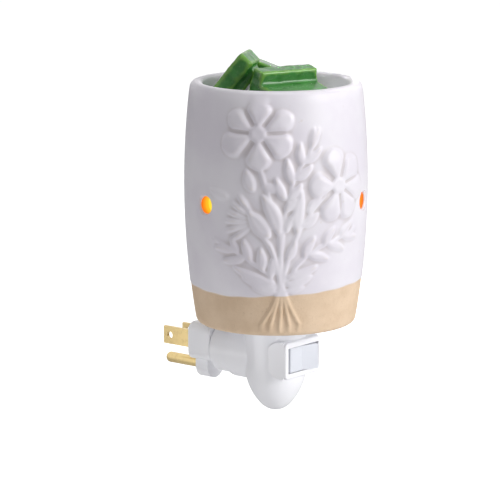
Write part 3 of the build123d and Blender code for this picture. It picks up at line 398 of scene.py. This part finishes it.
def make_shade(raw):
    """Spun shade with the bouquet raised on its outside wall."""
    start = math.radians(FRONT + HALF_FINE)
    side = (math.cos(start), math.sin(start), 0)
    shade = turned("ceramic_shade_glazed", shade_outline(), (FINE_SWEEP, PLAIN_SWEEP),
                   at=(0, SHADE_Y, 0), side=side)
    spots = points_of(shade)
    x, y, z, radius, u, outer = shade_places(shade)
    dipped = glazed(u, z)
    soft = read_grid(soften(raw, GLAZED_BLUR), u, z)
    crisp = read_grid(soften(raw, CLAY_BLUR), u, z)
    lift = outer * (RELIEF_LIFT * (soft * dipped + crisp * (1 - dipped)) + GLAZE_STEP * dipped)
    out = np.stack([x / radius.clip(1e-6), y / radius.clip(1e-6), np.zeros(len(x))], 1)
    spots += out * lift[:, None]
    shade.data.vertices.foreach_set("co", (spots * MM).ravel())
    shade.data.update()
    return shade


NEAR_BLUR, WIDE_BLUR = 0.45, 1.5  # their difference shows where the relief stands proud


def mark_glaze(shade, raw):
    """Notes on each point how proud the relief stands there, and whether the glaze covers it."""
    _, _, z, _, u, outer = shade_places(shade)
    proud = read_grid(soften(raw, NEAR_BLUR) - soften(raw, WIDE_BLUR), u, z) * outer
    for name, values in (("thin_glaze", proud), ("dipped", glazed(u, z))):
        note = shade.data.attributes.new(name, "FLOAT", "POINT")
        note.data.foreach_set("value", values.astype(np.float32))


LIP = 0.8  # rounding at the outside of a light hole
LIP_TURN, LIP_STEPS = 0.314, 5  # radians a step
LIP_FRONT = BELLY_R - 0.1
DRILL_FROM, DRILL_TO = 31, LIP_FRONT + 3
HOLE_SWEEP = (48, 360)
GLAZED_LIP = 1.0  # depth to which a hole's wall keeps the glaze


def drill_glow_holes(shade, lit):
    """Light holes with rounded lips; their walls get the lit finish."""
    turns = [k * LIP_TURN for k in range(LIP_STEPS + 1)]
    lip = [(GLOW_R + LIP * (1 - math.cos(a)), LIP_FRONT - LIP + LIP * math.sin(a)) for a in turns]
    outline = [(0, DRILL_FROM), (GLOW_R, DRILL_FROM), *lip, (GLOW_R + LIP, DRILL_TO), (0, DRILL_TO)]
    for degrees in GLOW_ANGLES:
        a = math.radians(degrees)
        out = (math.cos(a), math.sin(a), 0)
        drill = turned("drill", outline, (HOLE_SWEEP,), at=(0, SHADE_Y, GLOW_Z), axis=out,
                       side=(0, 0, 1))
        drill.data.materials.append(lit)
        modify(shade, "BOOLEAN", object=drill, operation="DIFFERENCE", solver="EXACT",
               material_mode="TRANSFER")
        bpy.data.objects.remove(drill)
    bore = shade.data.materials.find(lit.name)
    for face in shade.data.polygons:
        if face.material_index == bore:
            x, y, _ = face.center / MM
            if math.hypot(x, y - SHADE_Y) > BELLY_R - GLAZED_LIP:
                face.material_index = 0


# Wax melts, as the solids have them: slab (length, width, thickness), bar (length, width,
# height, offset), place from the middle of the dish's floor, turn about Z, slope and tip
MELTS = (
    ("wax_melt_1", (24.6, 18, 7.4), (19, 11, 4, 0), (-9.2, 19.4, 15.6), -64, -51.5, 180),
    ("wax_melt_2", (25, 13, 6), (20, 10, 5, 0), (15.4, 7.8, 14.8), -50.6, 22, 180),
    ("wax_melt_3", (30, 21, 9.8), (29, 8, 5.5, 5.6), (-1.2, -7.8, 2.2), -18.6, 0, 12),
)


EDGE_SPREAD = 4  # rounds of averaging that widen a marked edge
SLAB_DRAFT, BAR_DRAFT = 0.8, 0.9  # how much narrower a cast block is at its top
BAR_INSET, BAR_MARGIN = 0.6, 2
MELT_ROUND = 1.5
VOXEL = 0.45
SOFT_ROUNDS, LAST_ROUNDS = 20, 2  # smoothing before and after the uneven skin
SKIN_SCALE, SKIN_DEPTH, SKIN_HEIGHT, SKIN_LEVEL = 5, 3, 0.6, 0.55


def mark_edges(melt):
    """Notes on each point how far it stands out from its neighbours, as a melted edge does."""
    spots = points_of(melt)
    facing = np.empty(spots.size)
    melt.data.vertices.foreach_get("normal", facing)
    ends = np.empty(len(melt.data.edges) * 2, int)
    melt.data.edges.foreach_get("vertices", ends)
    one, other = ends.reshape(-1, 2).T
    count = np.bincount(ends, minlength=len(spots)).clip(1)

    def around(values):
        total = np.bincount(one, values[other], len(spots))
        total += np.bincount(other, values[one], len(spots))
        return total / count

    drop = spots - np.stack([around(spots[:, k]) for k in range(3)], 1)
    sharp = (drop * facing.reshape(-1, 3)).sum(1)
    for _ in range(EDGE_SPREAD):
        sharp = around(sharp)
    note = melt.data.attributes.new("edge", "FLOAT", "POINT")
    note.data.foreach_set("value", sharp.astype(np.float32))


def make_melt(name, slab, ridge, spot, turn, slope, tip):
    """Cast block with a raised bar, edges melted soft, set at its tilt in the dish."""
    length, width, thick = slab
    lay_down_tools()
    bpy.ops.mesh.primitive_cube_add(size=1)
    melt = fresh(name + "_cast")
    melt.scale = (length * MM, width * MM, thick * MM)
    melt.location = (0, 0, thick / 2 * MM)
    bpy.ops.object.transform_apply(location=True, rotation=False, scale=True)
    bpy.ops.object.mode_set(mode="EDIT")
    bpy.ops.mesh.select_all(action="DESELECT")
    bpy.ops.object.mode_set(mode="OBJECT")
    for face in melt.data.polygons:
        face.select = face.normal.z > 0.9
    bpy.ops.object.mode_set(mode="EDIT")
    bpy.ops.mesh.select_mode(type="FACE")
    bpy.ops.transform.resize(value=(1 - SLAB_DRAFT / length, 1 - SLAB_DRAFT / width, 1))
    bar_l, bar_w, bar_h, offset = ridge
    bpy.ops.mesh.inset(thickness=BAR_INSET * MM, depth=0)
    bpy.ops.transform.resize(value=(bar_l / (length - BAR_MARGIN), bar_w / (width - BAR_MARGIN), 1))
    bpy.ops.transform.translate(value=(0, offset * MM, 0))
    bpy.ops.mesh.extrude_region_move(TRANSFORM_OT_translate={"value": (0, 0, bar_h * MM)})
    bpy.ops.transform.resize(value=(1 - BAR_DRAFT / bar_l, 1 - BAR_DRAFT / bar_w, 1))
    bpy.ops.object.mode_set(mode="OBJECT")
    modify(melt, "BEVEL", width=MELT_ROUND * MM, segments=4, limit_method="ANGLE",
           angle_limit=math.radians(30))
    modify(melt, "REMESH", mode="VOXEL", voxel_size=VOXEL * MM)
    modify(melt, "SMOOTH", factor=0.5, iterations=SOFT_ROUNDS)
    grain = bpy.data.textures.new(name + "_grain", "CLOUDS")
    grain.noise_scale = SKIN_SCALE * MM
    grain.noise_depth = SKIN_DEPTH
    modify(melt, "DISPLACE", texture=grain, texture_coords="LOCAL", strength=SKIN_HEIGHT * MM,
           mid_level=SKIN_LEVEL)
    modify(melt, "SMOOTH", factor=0.5, iterations=LAST_ROUNDS)
    mark_edges(melt)
    place = Matrix.Translation(Vector((spot[0], spot[1] + SHADE_Y, spot[2] + DISH_Z)) * MM)
    for degrees, axis in ((turn, "Z"), (slope, "Y"), (tip, "X")):
        place = place @ Matrix.Rotation(math.radians(degrees), 4, axis)
    melt.matrix_world = place
    take(melt)
    bpy.ops.object.transform_apply(location=True, rotation=True, scale=True)
    bpy.ops.object.shade_smooth()
    return melt


# Small metal pieces that get their rolled threads and driver slots here

SCREW_ORBIT, SCREW_Z = 20.0, 16.0
SCREW_TURNS = [math.radians(turn) for turn in (180, 60, -60)]
SCREW_PLACES = [(SCREW_ORBIT * math.sin(a), SCREW_ORBIT * math.cos(a)) for a in SCREW_TURNS]
SCREW_OUTLINE = ((0, 0), (1.7, 0), (2.2, 0.15), (2.4, 0.5), (2.4, 1.4),
                 (1.1, 1.4), (1.1, 6.9), (0.7, 7.4), (0, 7.4))
SCREW_SWEEP = (28, 360)
SLOT_SIZE = (2.6, 0.6, 1.6)
CAP_INNER, CAP_OUTER = 5.6, 6.0
CAP_Z, CAP_TOP = 19.35, 35.35
CAP_THREAD = (CAP_Z - 2, CAP_TOP - 2.6)
SLEEVE_INNER, SLEEVE_OUTER = 6.45, 6.9
SLEEVE_Z, SLEEVE_TOP = 15.1, 35.4
SLEEVE_THREAD = (18.0, 31.6)
SLEEVE_STEP, SLEEVE_SWEEP = 0.25, (56, 360)
TAB_SIZE = (3.6, 0.45, 9.0)
TAB_BACK, TAB_Z = 6.5, 14.1
PITCH = 2.54
THREAD, THREAD_FADE = 0.6, 1.0


def roll_thread(piece, low, high):
    """Presses a right-hand thread into a turned sleeve between two heights."""
    spots = points_of(piece)
    x, y, z = spots[:, 0], spots[:, 1] - SHADE_Y, spots[:, 2]
    radius = np.hypot(x, y).clip(1e-6)
    wave = 0.5 - 0.5 * np.cos(2 * math.pi * z / PITCH - np.arctan2(y, x))
    press = THREAD * wave / radius
    press = press * ease(z, low - THREAD_FADE, low) * ease(high - z, 0, THREAD_FADE)
    spots[:, 0] -= x * press
    spots[:, 1] -= y * press
    piece.data.vertices.foreach_set("co", (spots * MM).ravel())
    piece.data.update()


def sleeve_outline(inner, outer, low, high):
    """Closed section of a thin sleeve, with points close enough for a thread."""
    heights = np.arange(low, high + 0.1, SLEEVE_STEP)
    up = [(outer, float(z)) for z in heights]
    return up + [(inner, z) for _, z in reversed(up)] + [up[0]]


def make_bulb_cap():
    outline = sleeve_outline(CAP_INNER, CAP_OUTER, CAP_Z, CAP_TOP)
    cap = turned("bulb_cap_threaded", outline, (SLEEVE_SWEEP,), at=(0, SHADE_Y, 0))
    roll_thread(cap, *CAP_THREAD)
    smooth(cap)
    return cap


def make_socket_sleeve():
    """Threaded sleeve with the solder tab at its lower end."""
    outline = sleeve_outline(SLEEVE_INNER, SLEEVE_OUTER, SLEEVE_Z, SLEEVE_TOP)
    sleeve = turned("socket_sleeve_threaded", outline, (SLEEVE_SWEEP,), at=(0, SHADE_Y, 0))
    roll_thread(sleeve, *SLEEVE_THREAD)
    lay_down_tools()
    bpy.ops.mesh.primitive_cube_add(size=1)
    tab = fresh("solder_tab")
    tab.scale = Vector(TAB_SIZE) * MM
    tab.location = (0, (SHADE_Y + TAB_BACK) * MM, TAB_Z * MM)
    bpy.ops.object.transform_apply(location=True, rotation=False, scale=True)
    take(tab)
    sleeve.select_set(True)
    bpy.context.view_layer.objects.active = sleeve
    bpy.ops.object.join()
    smooth(sleeve)
    return sleeve


def make_cover_screws():
    """One screw turned with a rounded head and a cross slot, then copied round the cover."""
    screw = turned("cover_screws_slotted", SCREW_OUTLINE, (SCREW_SWEEP,))
    for turn in (0, 90):
        lay_down_tools()
        bpy.ops.mesh.primitive_cube_add(size=1)
        slot = fresh("slot")
        slot.scale = Vector(SLOT_SIZE) * MM
        slot.rotation_euler.z = math.radians(turn)
        bpy.ops.object.transform_apply(location=False, rotation=True, scale=True)
        modify(screw, "BOOLEAN", object=slot, operation="DIFFERENCE", solver="EXACT")
        bpy.data.objects.remove(slot)
    take(screw)
    bpy.ops.object.mode_set(mode="EDIT")
    bpy.ops.mesh.select_all(action="SELECT")
    here = Vector((0, 0, 0))
    for x, y in SCREW_PLACES:
        there = Vector((x, y + SHADE_Y, SCREW_Z))
        if here.length > 0:
            bpy.ops.mesh.duplicate()
        bpy.ops.transform.translate(value=(there - here) * MM)
        here = there
    bpy.ops.object.mode_set(mode="OBJECT")
    smooth(screw)
    return screw


# Finishes: a small wrap round a socket, so that shader maths reads as plain sums

class Wire:
    """A value or colour in a finish, with arithmetic."""

    def __init__(self, finish, socket):
        self.finish, self.socket = finish, socket

    def sum(self, operation, first, second):
        return self.finish.node("Math", {"operation": operation}, {0: first, 1: second})

    def __add__(self, other):
        return self.sum("ADD", self, other)

    def __sub__(self, other):
        return self.sum("SUBTRACT", self, other)

    def __mul__(self, other):
        return self.sum("MULTIPLY", self, other)

    def __rsub__(self, other):
        return self.sum("SUBTRACT", other, self)

    __radd__ = __add__
    __rmul__ = __mul__

    def between(self, low, high):
        """0 below low, 1 above high, eased."""
        return self.finish.node("MapRange", {"interpolation_type": "SMOOTHSTEP"},
                                {"Value": self, "From Min": low, "From Max": high})


class Finish:
    """One material and the nodes that make it."""

    def __init__(self, name):
        self.material = bpy.data.materials.new(name)
        self.material.use_nodes = True
        self.tree = self.material.node_tree
        self.tree.nodes.clear()
        self.place = self.node("TexCoord", out="Object")

    def node(self, kind, settings=None, sockets=None, out=0):
        made = self.tree.nodes.new("ShaderNode" + kind)
        for key, value in (settings or {}).items():
            setattr(made, key, value)
        for key, value in (sockets or {}).items():
            socket = made.inputs[key]
            if isinstance(value, Wire):
                self.tree.links.new(value.socket, socket)
            elif isinstance(value, tuple) and len(value) == 3 and socket.type == "RGBA":
                socket.default_value = (*value, 1)
            else:
                socket.default_value = value
        return Wire(self, made.outputs[out])

    def noise(self, scale, detail=3.0, rough=0.5):
        return self.node("TexNoise", None, {"Vector": self.place, "Scale": scale,
                                            "Detail": detail, "Roughness": rough})

    def mix(self, share, first, second):
        """Colour from first to second by a share."""
        return self.node("Mix", {"data_type": "RGBA"}, {0: share, 6: first, 7: second}, out=2)

    def bump(self, height, strength, distance):
        return self.node("Bump", None, {"Height": height, "Strength": strength,
                                        "Distance": distance})

    def done(self, **sockets):
        """Close the finish with one Principled shader, sockets given with _ for a space."""
        words = {key.replace("_", " "): value for key, value in sockets.items()}
        shader = self.node("BsdfPrincipled", None, words)
        sheet = self.tree.nodes.new("ShaderNodeOutputMaterial")
        self.tree.links.new(shader.socket, sheet.inputs["Surface"])
        return self.material


def make_glaze():
    """Lavender glaze, darker in the relief's creases where it pools and as painted shade, warmer
    where it is thin, over bare clay.
    """
    f = Finish("lavender_glaze_on_tan_clay")
    thin = f.node("Attribute", {"attribute_name": "thin_glaze"}, None, out="Fac")
    dipped = f.node("Attribute", {"attribute_name": "dipped"}, None, out="Fac")
    cloud = f.noise(45, 3)
    fine = f.noise(900, 4, 0.6)
    speck = f.noise(420, 2).between(0.70, 0.78)
    body = f.mix(cloud.between(0.35, 0.7), (0.765, 0.73, 0.795), (0.82, 0.795, 0.845))
    # darker just outside the raised forms: partly glaze pooling, partly painted shade in the
    # creases
    pooled_and_painted_shade = f.mix(thin.between(-0.05, -0.30) * 0.42, body, (0.46, 0.40, 0.38))
    worn = f.mix(thin.between(0.16, 0.5) * 0.3, pooled_and_painted_shade, (0.74, 0.66, 0.60))
    glaze = f.mix(speck * 0.25, worn, (0.66, 0.58, 0.54))
    patch = f.noise(120, 5, 0.62).between(0.3, 0.72)
    clay_tone = f.mix(patch, (0.70, 0.525, 0.365), (0.77, 0.595, 0.43))
    clay = f.mix(f.noise(1500, 2).between(0.62, 0.72) * 0.3, clay_tone, (0.50, 0.35, 0.22))
    grain = fine * (1 - dipped) * 0.6 + cloud * dipped * 0.5 + f.noise(160, 2) * dipped * 0.35
    return f.done(
        Base_Color=f.mix(dipped, clay, glaze),
        Roughness=0.78 - dipped * 0.42 + cloud * dipped * 0.05,
        Coat_Weight=dipped * 0.08,
        Coat_Roughness=0.14,
        Specular_IOR_Level=0.3,
        IOR=1.5,
        Normal=f.bump(grain, 0.35, 0.0006),
    )


LIT_FROM, LIT_UP = 0.035, 0.060  # metres: the lamp's glow on the clay begins, is full,
LIT_DOWN, LIT_TO = 0.082, 0.100  # fades and ends


def make_lit_clay(name, lip, deep, clay):
    """Bare clay lit warm from inside, deeper in colour towards the lip of a hole."""
    f = Finish(name)
    share = f.noise(160, 3).between(0.3, 0.7)
    x = f.node("SeparateXYZ", None, {"Vector": f.place}, out="X")
    y = f.node("SeparateXYZ", None, {"Vector": f.place}, out="Y") - SHADE_Y * MM
    height = f.node("SeparateXYZ", None, {"Vector": f.place}, out="Z")
    inward = (x * x + y * y).between(((BELLY_R - 0.6) * MM) ** 2, ((BELLY_R - WALL) * MM) ** 2)
    near = height.between(LIT_FROM, LIT_UP) * (1 - height.between(LIT_DOWN, LIT_TO))
    return f.done(
        Base_Color=f.mix(share, clay, (0.20, 0.12, 0.06)),
        Roughness=0.85,
        Emission_Color=f.mix(near, (0, 0, 0), f.mix(inward, lip, deep)),
        Emission_Strength=1.0,
        Normal=f.bump(f.noise(900, 3), 0.3, 0.0005),
    )


def make_wax():
    """Green wax, with painted light along its thin edges where light would shine through, and small
    scuffs.
    """
    f = Finish("green_wax")
    cloud = f.noise(170, 4, 0.6)
    scuff = f.noise(900, 3, 0.65).between(0.52, 0.75)
    edge = f.node("Attribute", {"attribute_name": "edge"}, None, out="Fac").between(0.003, 0.020)
    body = f.mix(cloud.between(0.3, 0.7), (0.030, 0.16, 0.026), (0.058, 0.245, 0.050))
    # painted light: paler, yellower colour on the edges, where light would glow through the wax
    lit = f.mix(edge * 0.5, body, (0.24, 0.46, 0.07))
    return f.done(
        Base_Color=f.mix(scuff * 0.18, lit, (0.24, 0.40, 0.18)),
        Roughness=0.16 + scuff * 0.16,
        Subsurface_Weight=0.25,
        Subsurface_Radius=(0.35, 1.0, 0.25),
        Subsurface_Scale=0.004,
        IOR=1.44,
        Normal=f.bump(cloud * 0.7 + f.noise(1400, 3) * 0.3, 0.3, 0.0006),
    )


def make_plastic(name, colour, shade, rough):
    """Moulded plastic: faint flow clouds, a fine skin and small scuffs."""
    f = Finish(name)
    scuff = f.noise(700, 4, 0.7).between(0.55, 0.8)
    return f.done(
        Base_Color=f.mix(f.noise(60, 3).between(0.3, 0.75), colour, shade),
        Roughness=rough + scuff * 0.10,
        Coat_Weight=0.25,
        Coat_Roughness=0.08,
        IOR=1.48,
        Normal=f.bump(f.noise(2200, 2), 0.06, 0.0003),
    )


def make_metal(name, colour, tarnish, rough):
    """Drawn metal: fine lines along the drawing, tarnish in clouds."""
    f = Finish(name)
    cloud = f.noise(260, 4, 0.6).between(0.42, 0.75)
    lines = f.noise(2600, 2)
    return f.done(
        Base_Color=f.mix(cloud * 0.6, colour, tarnish),
        Metallic=1.0,
        Roughness=rough + cloud * 0.14 + lines * 0.05,
        Normal=f.bump(lines, 0.08, 0.0002),
    )


def make_bulb_glass():
    f = Finish("clear_bulb_glass")
    return f.done(
        Base_Color=f.mix(f.noise(90, 2).between(0.3, 0.7), (1.0, 0.97, 0.92), (1.0, 0.99, 0.97)),
        Roughness=0.03 + f.noise(300, 3).between(0.5, 0.8) * 0.05,
        Transmission_Weight=1.0,
        IOR=1.46,
    )


def make_filament():
    f = Finish("glowing_filament")
    return f.done(
        Base_Color=(0.4, 0.36, 0.3),
        Emission_Color=f.mix(f.noise(1200, 2), (1.0, 0.55, 0.16), (1.0, 0.78, 0.40)),
        Emission_Strength=12.0,
    )


# Set-up of the picture: the camera as fitted to the photograph, lamps in metres and watts

FOCAL, PICTURE = 3031, 500  # pixels
SENSOR = 36
CAMERA_TURN, CAMERA_RISE = math.radians(-50.62), math.radians(10.95)
CAMERA_TARGET = Vector((-17.63, -41.0, 49.13)) * MM
CAMERA_BACK = 1.2977
SKY_LIGHT = 0.145
FLOOR_Z = -62.0
AIM = Vector((0, SHADE_Y, 50)) * MM
# Lamps: name, place, aim, size, power, spread in degrees
LAMPS = (
    ("key", (0.44, -1.90, 0.66), AIM, (1.2, 1.0), 31.5, 180),
    ("strip", (0.91, -0.82, 0.30), AIM, (0.22, 1.1), 0.6, 180),
    ("low_fill", (-0.204, 0.05, -0.03), (0, SHADE_Y * MM, 0), (0.16, 0.06), 0.06, 180),
    ("top", (-0.20, 0.0, 1.50), AIM, (0.8, 0.8), 8.5, 180),
    ("dish_fill", (-0.10, -0.06, 0.42), (0.018, -0.062, 0.113), (0.02, 0.02), 0.0022, 12),
    ("base_fill", (-0.20, -0.25, -0.035), (0, SHADE_Y * MM, -0.016), (0.10, 0.04), 0.003, 30),
)


def make_camera():
    lens = bpy.data.cameras.new("camera")
    lens.sensor_width = SENSOR
    lens.sensor_fit = "HORIZONTAL"
    lens.lens = FOCAL / PICTURE * SENSOR
    lens.clip_start, lens.clip_end = 0.05, 50
    camera = bpy.data.objects.new("camera", lens)
    bpy.context.scene.collection.objects.link(camera)
    level = math.cos(CAMERA_RISE)
    back = Vector((math.sin(CAMERA_TURN) * level, -math.cos(CAMERA_TURN) * level,
                   math.sin(CAMERA_RISE)))
    camera.location = CAMERA_TARGET + back * CAMERA_BACK
    camera.rotation_euler = back.to_track_quat("Z", "Y").to_euler()
    bpy.context.scene.camera = camera


def make_light(name, place, aim, size, power, spread):
    lamp = bpy.data.lights.new(name, "AREA")
    lamp.shape = "RECTANGLE"
    lamp.size, lamp.size_y = size
    lamp.energy = power
    lamp.spread = math.radians(spread)
    light = bpy.data.objects.new(name, lamp)
    bpy.context.scene.collection.objects.link(light)
    light.location = place
    light.rotation_euler = (Vector(place) - Vector(aim)).to_track_quat("Z", "Y").to_euler()


def make_sky():
    """White to the eye and in reflections, softer as light."""
    world = bpy.data.worlds.new("studio")
    bpy.context.scene.world = world
    world.use_nodes = True
    tree = world.node_tree
    tree.nodes.clear()
    path = tree.nodes.new("ShaderNodeLightPath")
    seen = tree.nodes.new("ShaderNodeMath")
    seen.operation = "MAXIMUM"
    tree.links.new(path.outputs["Is Camera Ray"], seen.inputs[0])
    also = tree.nodes.new("ShaderNodeMath")
    also.operation = "MAXIMUM"
    tree.links.new(path.outputs["Is Glossy Ray"], also.inputs[0])
    tree.links.new(path.outputs["Is Transmission Ray"], also.inputs[1])
    tree.links.new(also.outputs[0], seen.inputs[1])
    level = tree.nodes.new("ShaderNodeMapRange")
    level.inputs["To Min"].default_value = SKY_LIGHT
    level.inputs["To Max"].default_value = 1.0
    tree.links.new(seen.outputs[0], level.inputs["Value"])
    sky = tree.nodes.new("ShaderNodeBackground")
    sky.inputs["Color"].default_value = (1, 1, 1, 1)
    tree.links.new(level.outputs[0], sky.inputs["Strength"])
    out = tree.nodes.new("ShaderNodeOutputWorld")
    tree.links.new(sky.outputs[0], out.inputs["Surface"])


def make_floor():
    lay_down_tools()
    bpy.ops.mesh.primitive_plane_add(size=16, location=(0, 0, FLOOR_Z * MM))
    floor = fresh("floor")
    f = Finish("pale_floor")
    seen = f.node("LightPath", out="Is Camera Ray")
    f.done(Base_Color=(0.86, 0.86, 0.87), Roughness=0.9, Specular_IOR_Level=0.1,
           Emission_Color=(1, 1, 1), Emission_Strength=seen * 0.8)
    floor.data.materials.append(f.material)


make_camera()

# The ceramic shade, in place of its plain solid
INSIDE_MARGIN = 0.4  # faces this near the cavity's wall count as inside
glaze = make_glaze()
lit_bore = make_lit_clay("lit_hole_wall", (0.90, 0.13, 0.0), (1.0, 0.52, 0.02), (0.12, 0.06, 0.02))
lit_cavity = make_lit_clay("lit_inside", (1.0, 0.66, 0.03), (1.0, 0.74, 0.05), (0.3, 0.2, 0.1))
relief = bouquet()
shade = make_shade(relief)
shade.data.materials.append(glaze)
shade.data.materials.append(lit_cavity)
for face in shade.data.polygons:
    x, y, z = face.center / MM
    wall = float(barrel(min(max(z, FOOT_Z), RIM_Z)))
    inside = math.hypot(x, y - SHADE_Y) < wall - WALL + INSIDE_MARGIN
    if inside and LEDGE_TOP - 0.1 < z < ROOF_Z + 0.1:
        face.material_index = 1
drill_glow_holes(shade, lit_bore)
mark_glaze(shade, relief)
smooth(shade, 50)
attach(shade, "shade")
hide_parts("ceramic_shade")

# The wax melts
wax = make_wax()
for melt in MELTS:
    block = make_melt(*melt)
    block.data.materials.append(wax)
    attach(block, "wax")
    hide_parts(melt[0])

# Finishes for the metal pieces made above and for the parts that keep their solid
white = make_plastic("white_plastic", (0.905, 0.905, 0.94), (0.92, 0.92, 0.95), 0.28)
pale = make_plastic("rocker_plastic", (0.68, 0.70, 0.76), (0.71, 0.73, 0.79), 0.24)
black = make_plastic("black_moulding", (0.022, 0.021, 0.020), (0.035, 0.033, 0.031), 0.42)
cable = make_plastic("cable_jacket", (0.55, 0.55, 0.54), (0.60, 0.60, 0.59), 0.5)
lead_white = make_plastic("lead_white", (0.75, 0.75, 0.73), (0.80, 0.80, 0.78), 0.45)
brass = make_metal("brass", (0.80, 0.62, 0.30), (0.55, 0.40, 0.20), 0.26)
steel = make_metal("steel", (0.62, 0.62, 0.63), (0.45, 0.44, 0.43), 0.30)
solder = make_metal("solder", (0.66, 0.66, 0.67), (0.48, 0.48, 0.49), 0.38)
glass = make_bulb_glass()
filament = make_filament()
WEAR = {
    white: ("base_housing", "base_cover", "switch_case", "plug_body"),
    pale: ("switch_rocker",),
    black: ("socket_body", "bulb_insulator", "hot_lead", "switch_lead"),
    cable: ("supply_cable",),
    lead_white: ("neutral_lead",),
    brass: ("socket_contact", "hot_blade", "neutral_blade", "ground_pin", "switch_terminals"),
    steel: ("swivel_clip", "bulb_supports"),
    solder: ("bulb_contact",),
    glass: ("bulb_glass", "bulb_stem"),
    filament: ("bulb_filament",),
}
for piece, node, body, finish, slot in (
        (make_bulb_cap(), "bulb_cap", "bulb", brass, "brass"),
        (make_socket_sleeve(), "socket_shell", "base", brass, "brass"),
        (make_cover_screws(), "cover_screws", "base", steel, "steel")):
    piece.data.materials.clear()
    piece.data.materials.append(finish)
    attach(piece, body)
    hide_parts(node)
for finish, names in WEAR.items():
    for name in names:
        for slot in NODES[name].material_slots:
            slot.material = finish

make_floor()
make_sky()
for lamp in LAMPS:
    make_light(*lamp)
bpy.context.scene.view_settings.view_transform = "Standard"

lay_down_tools()
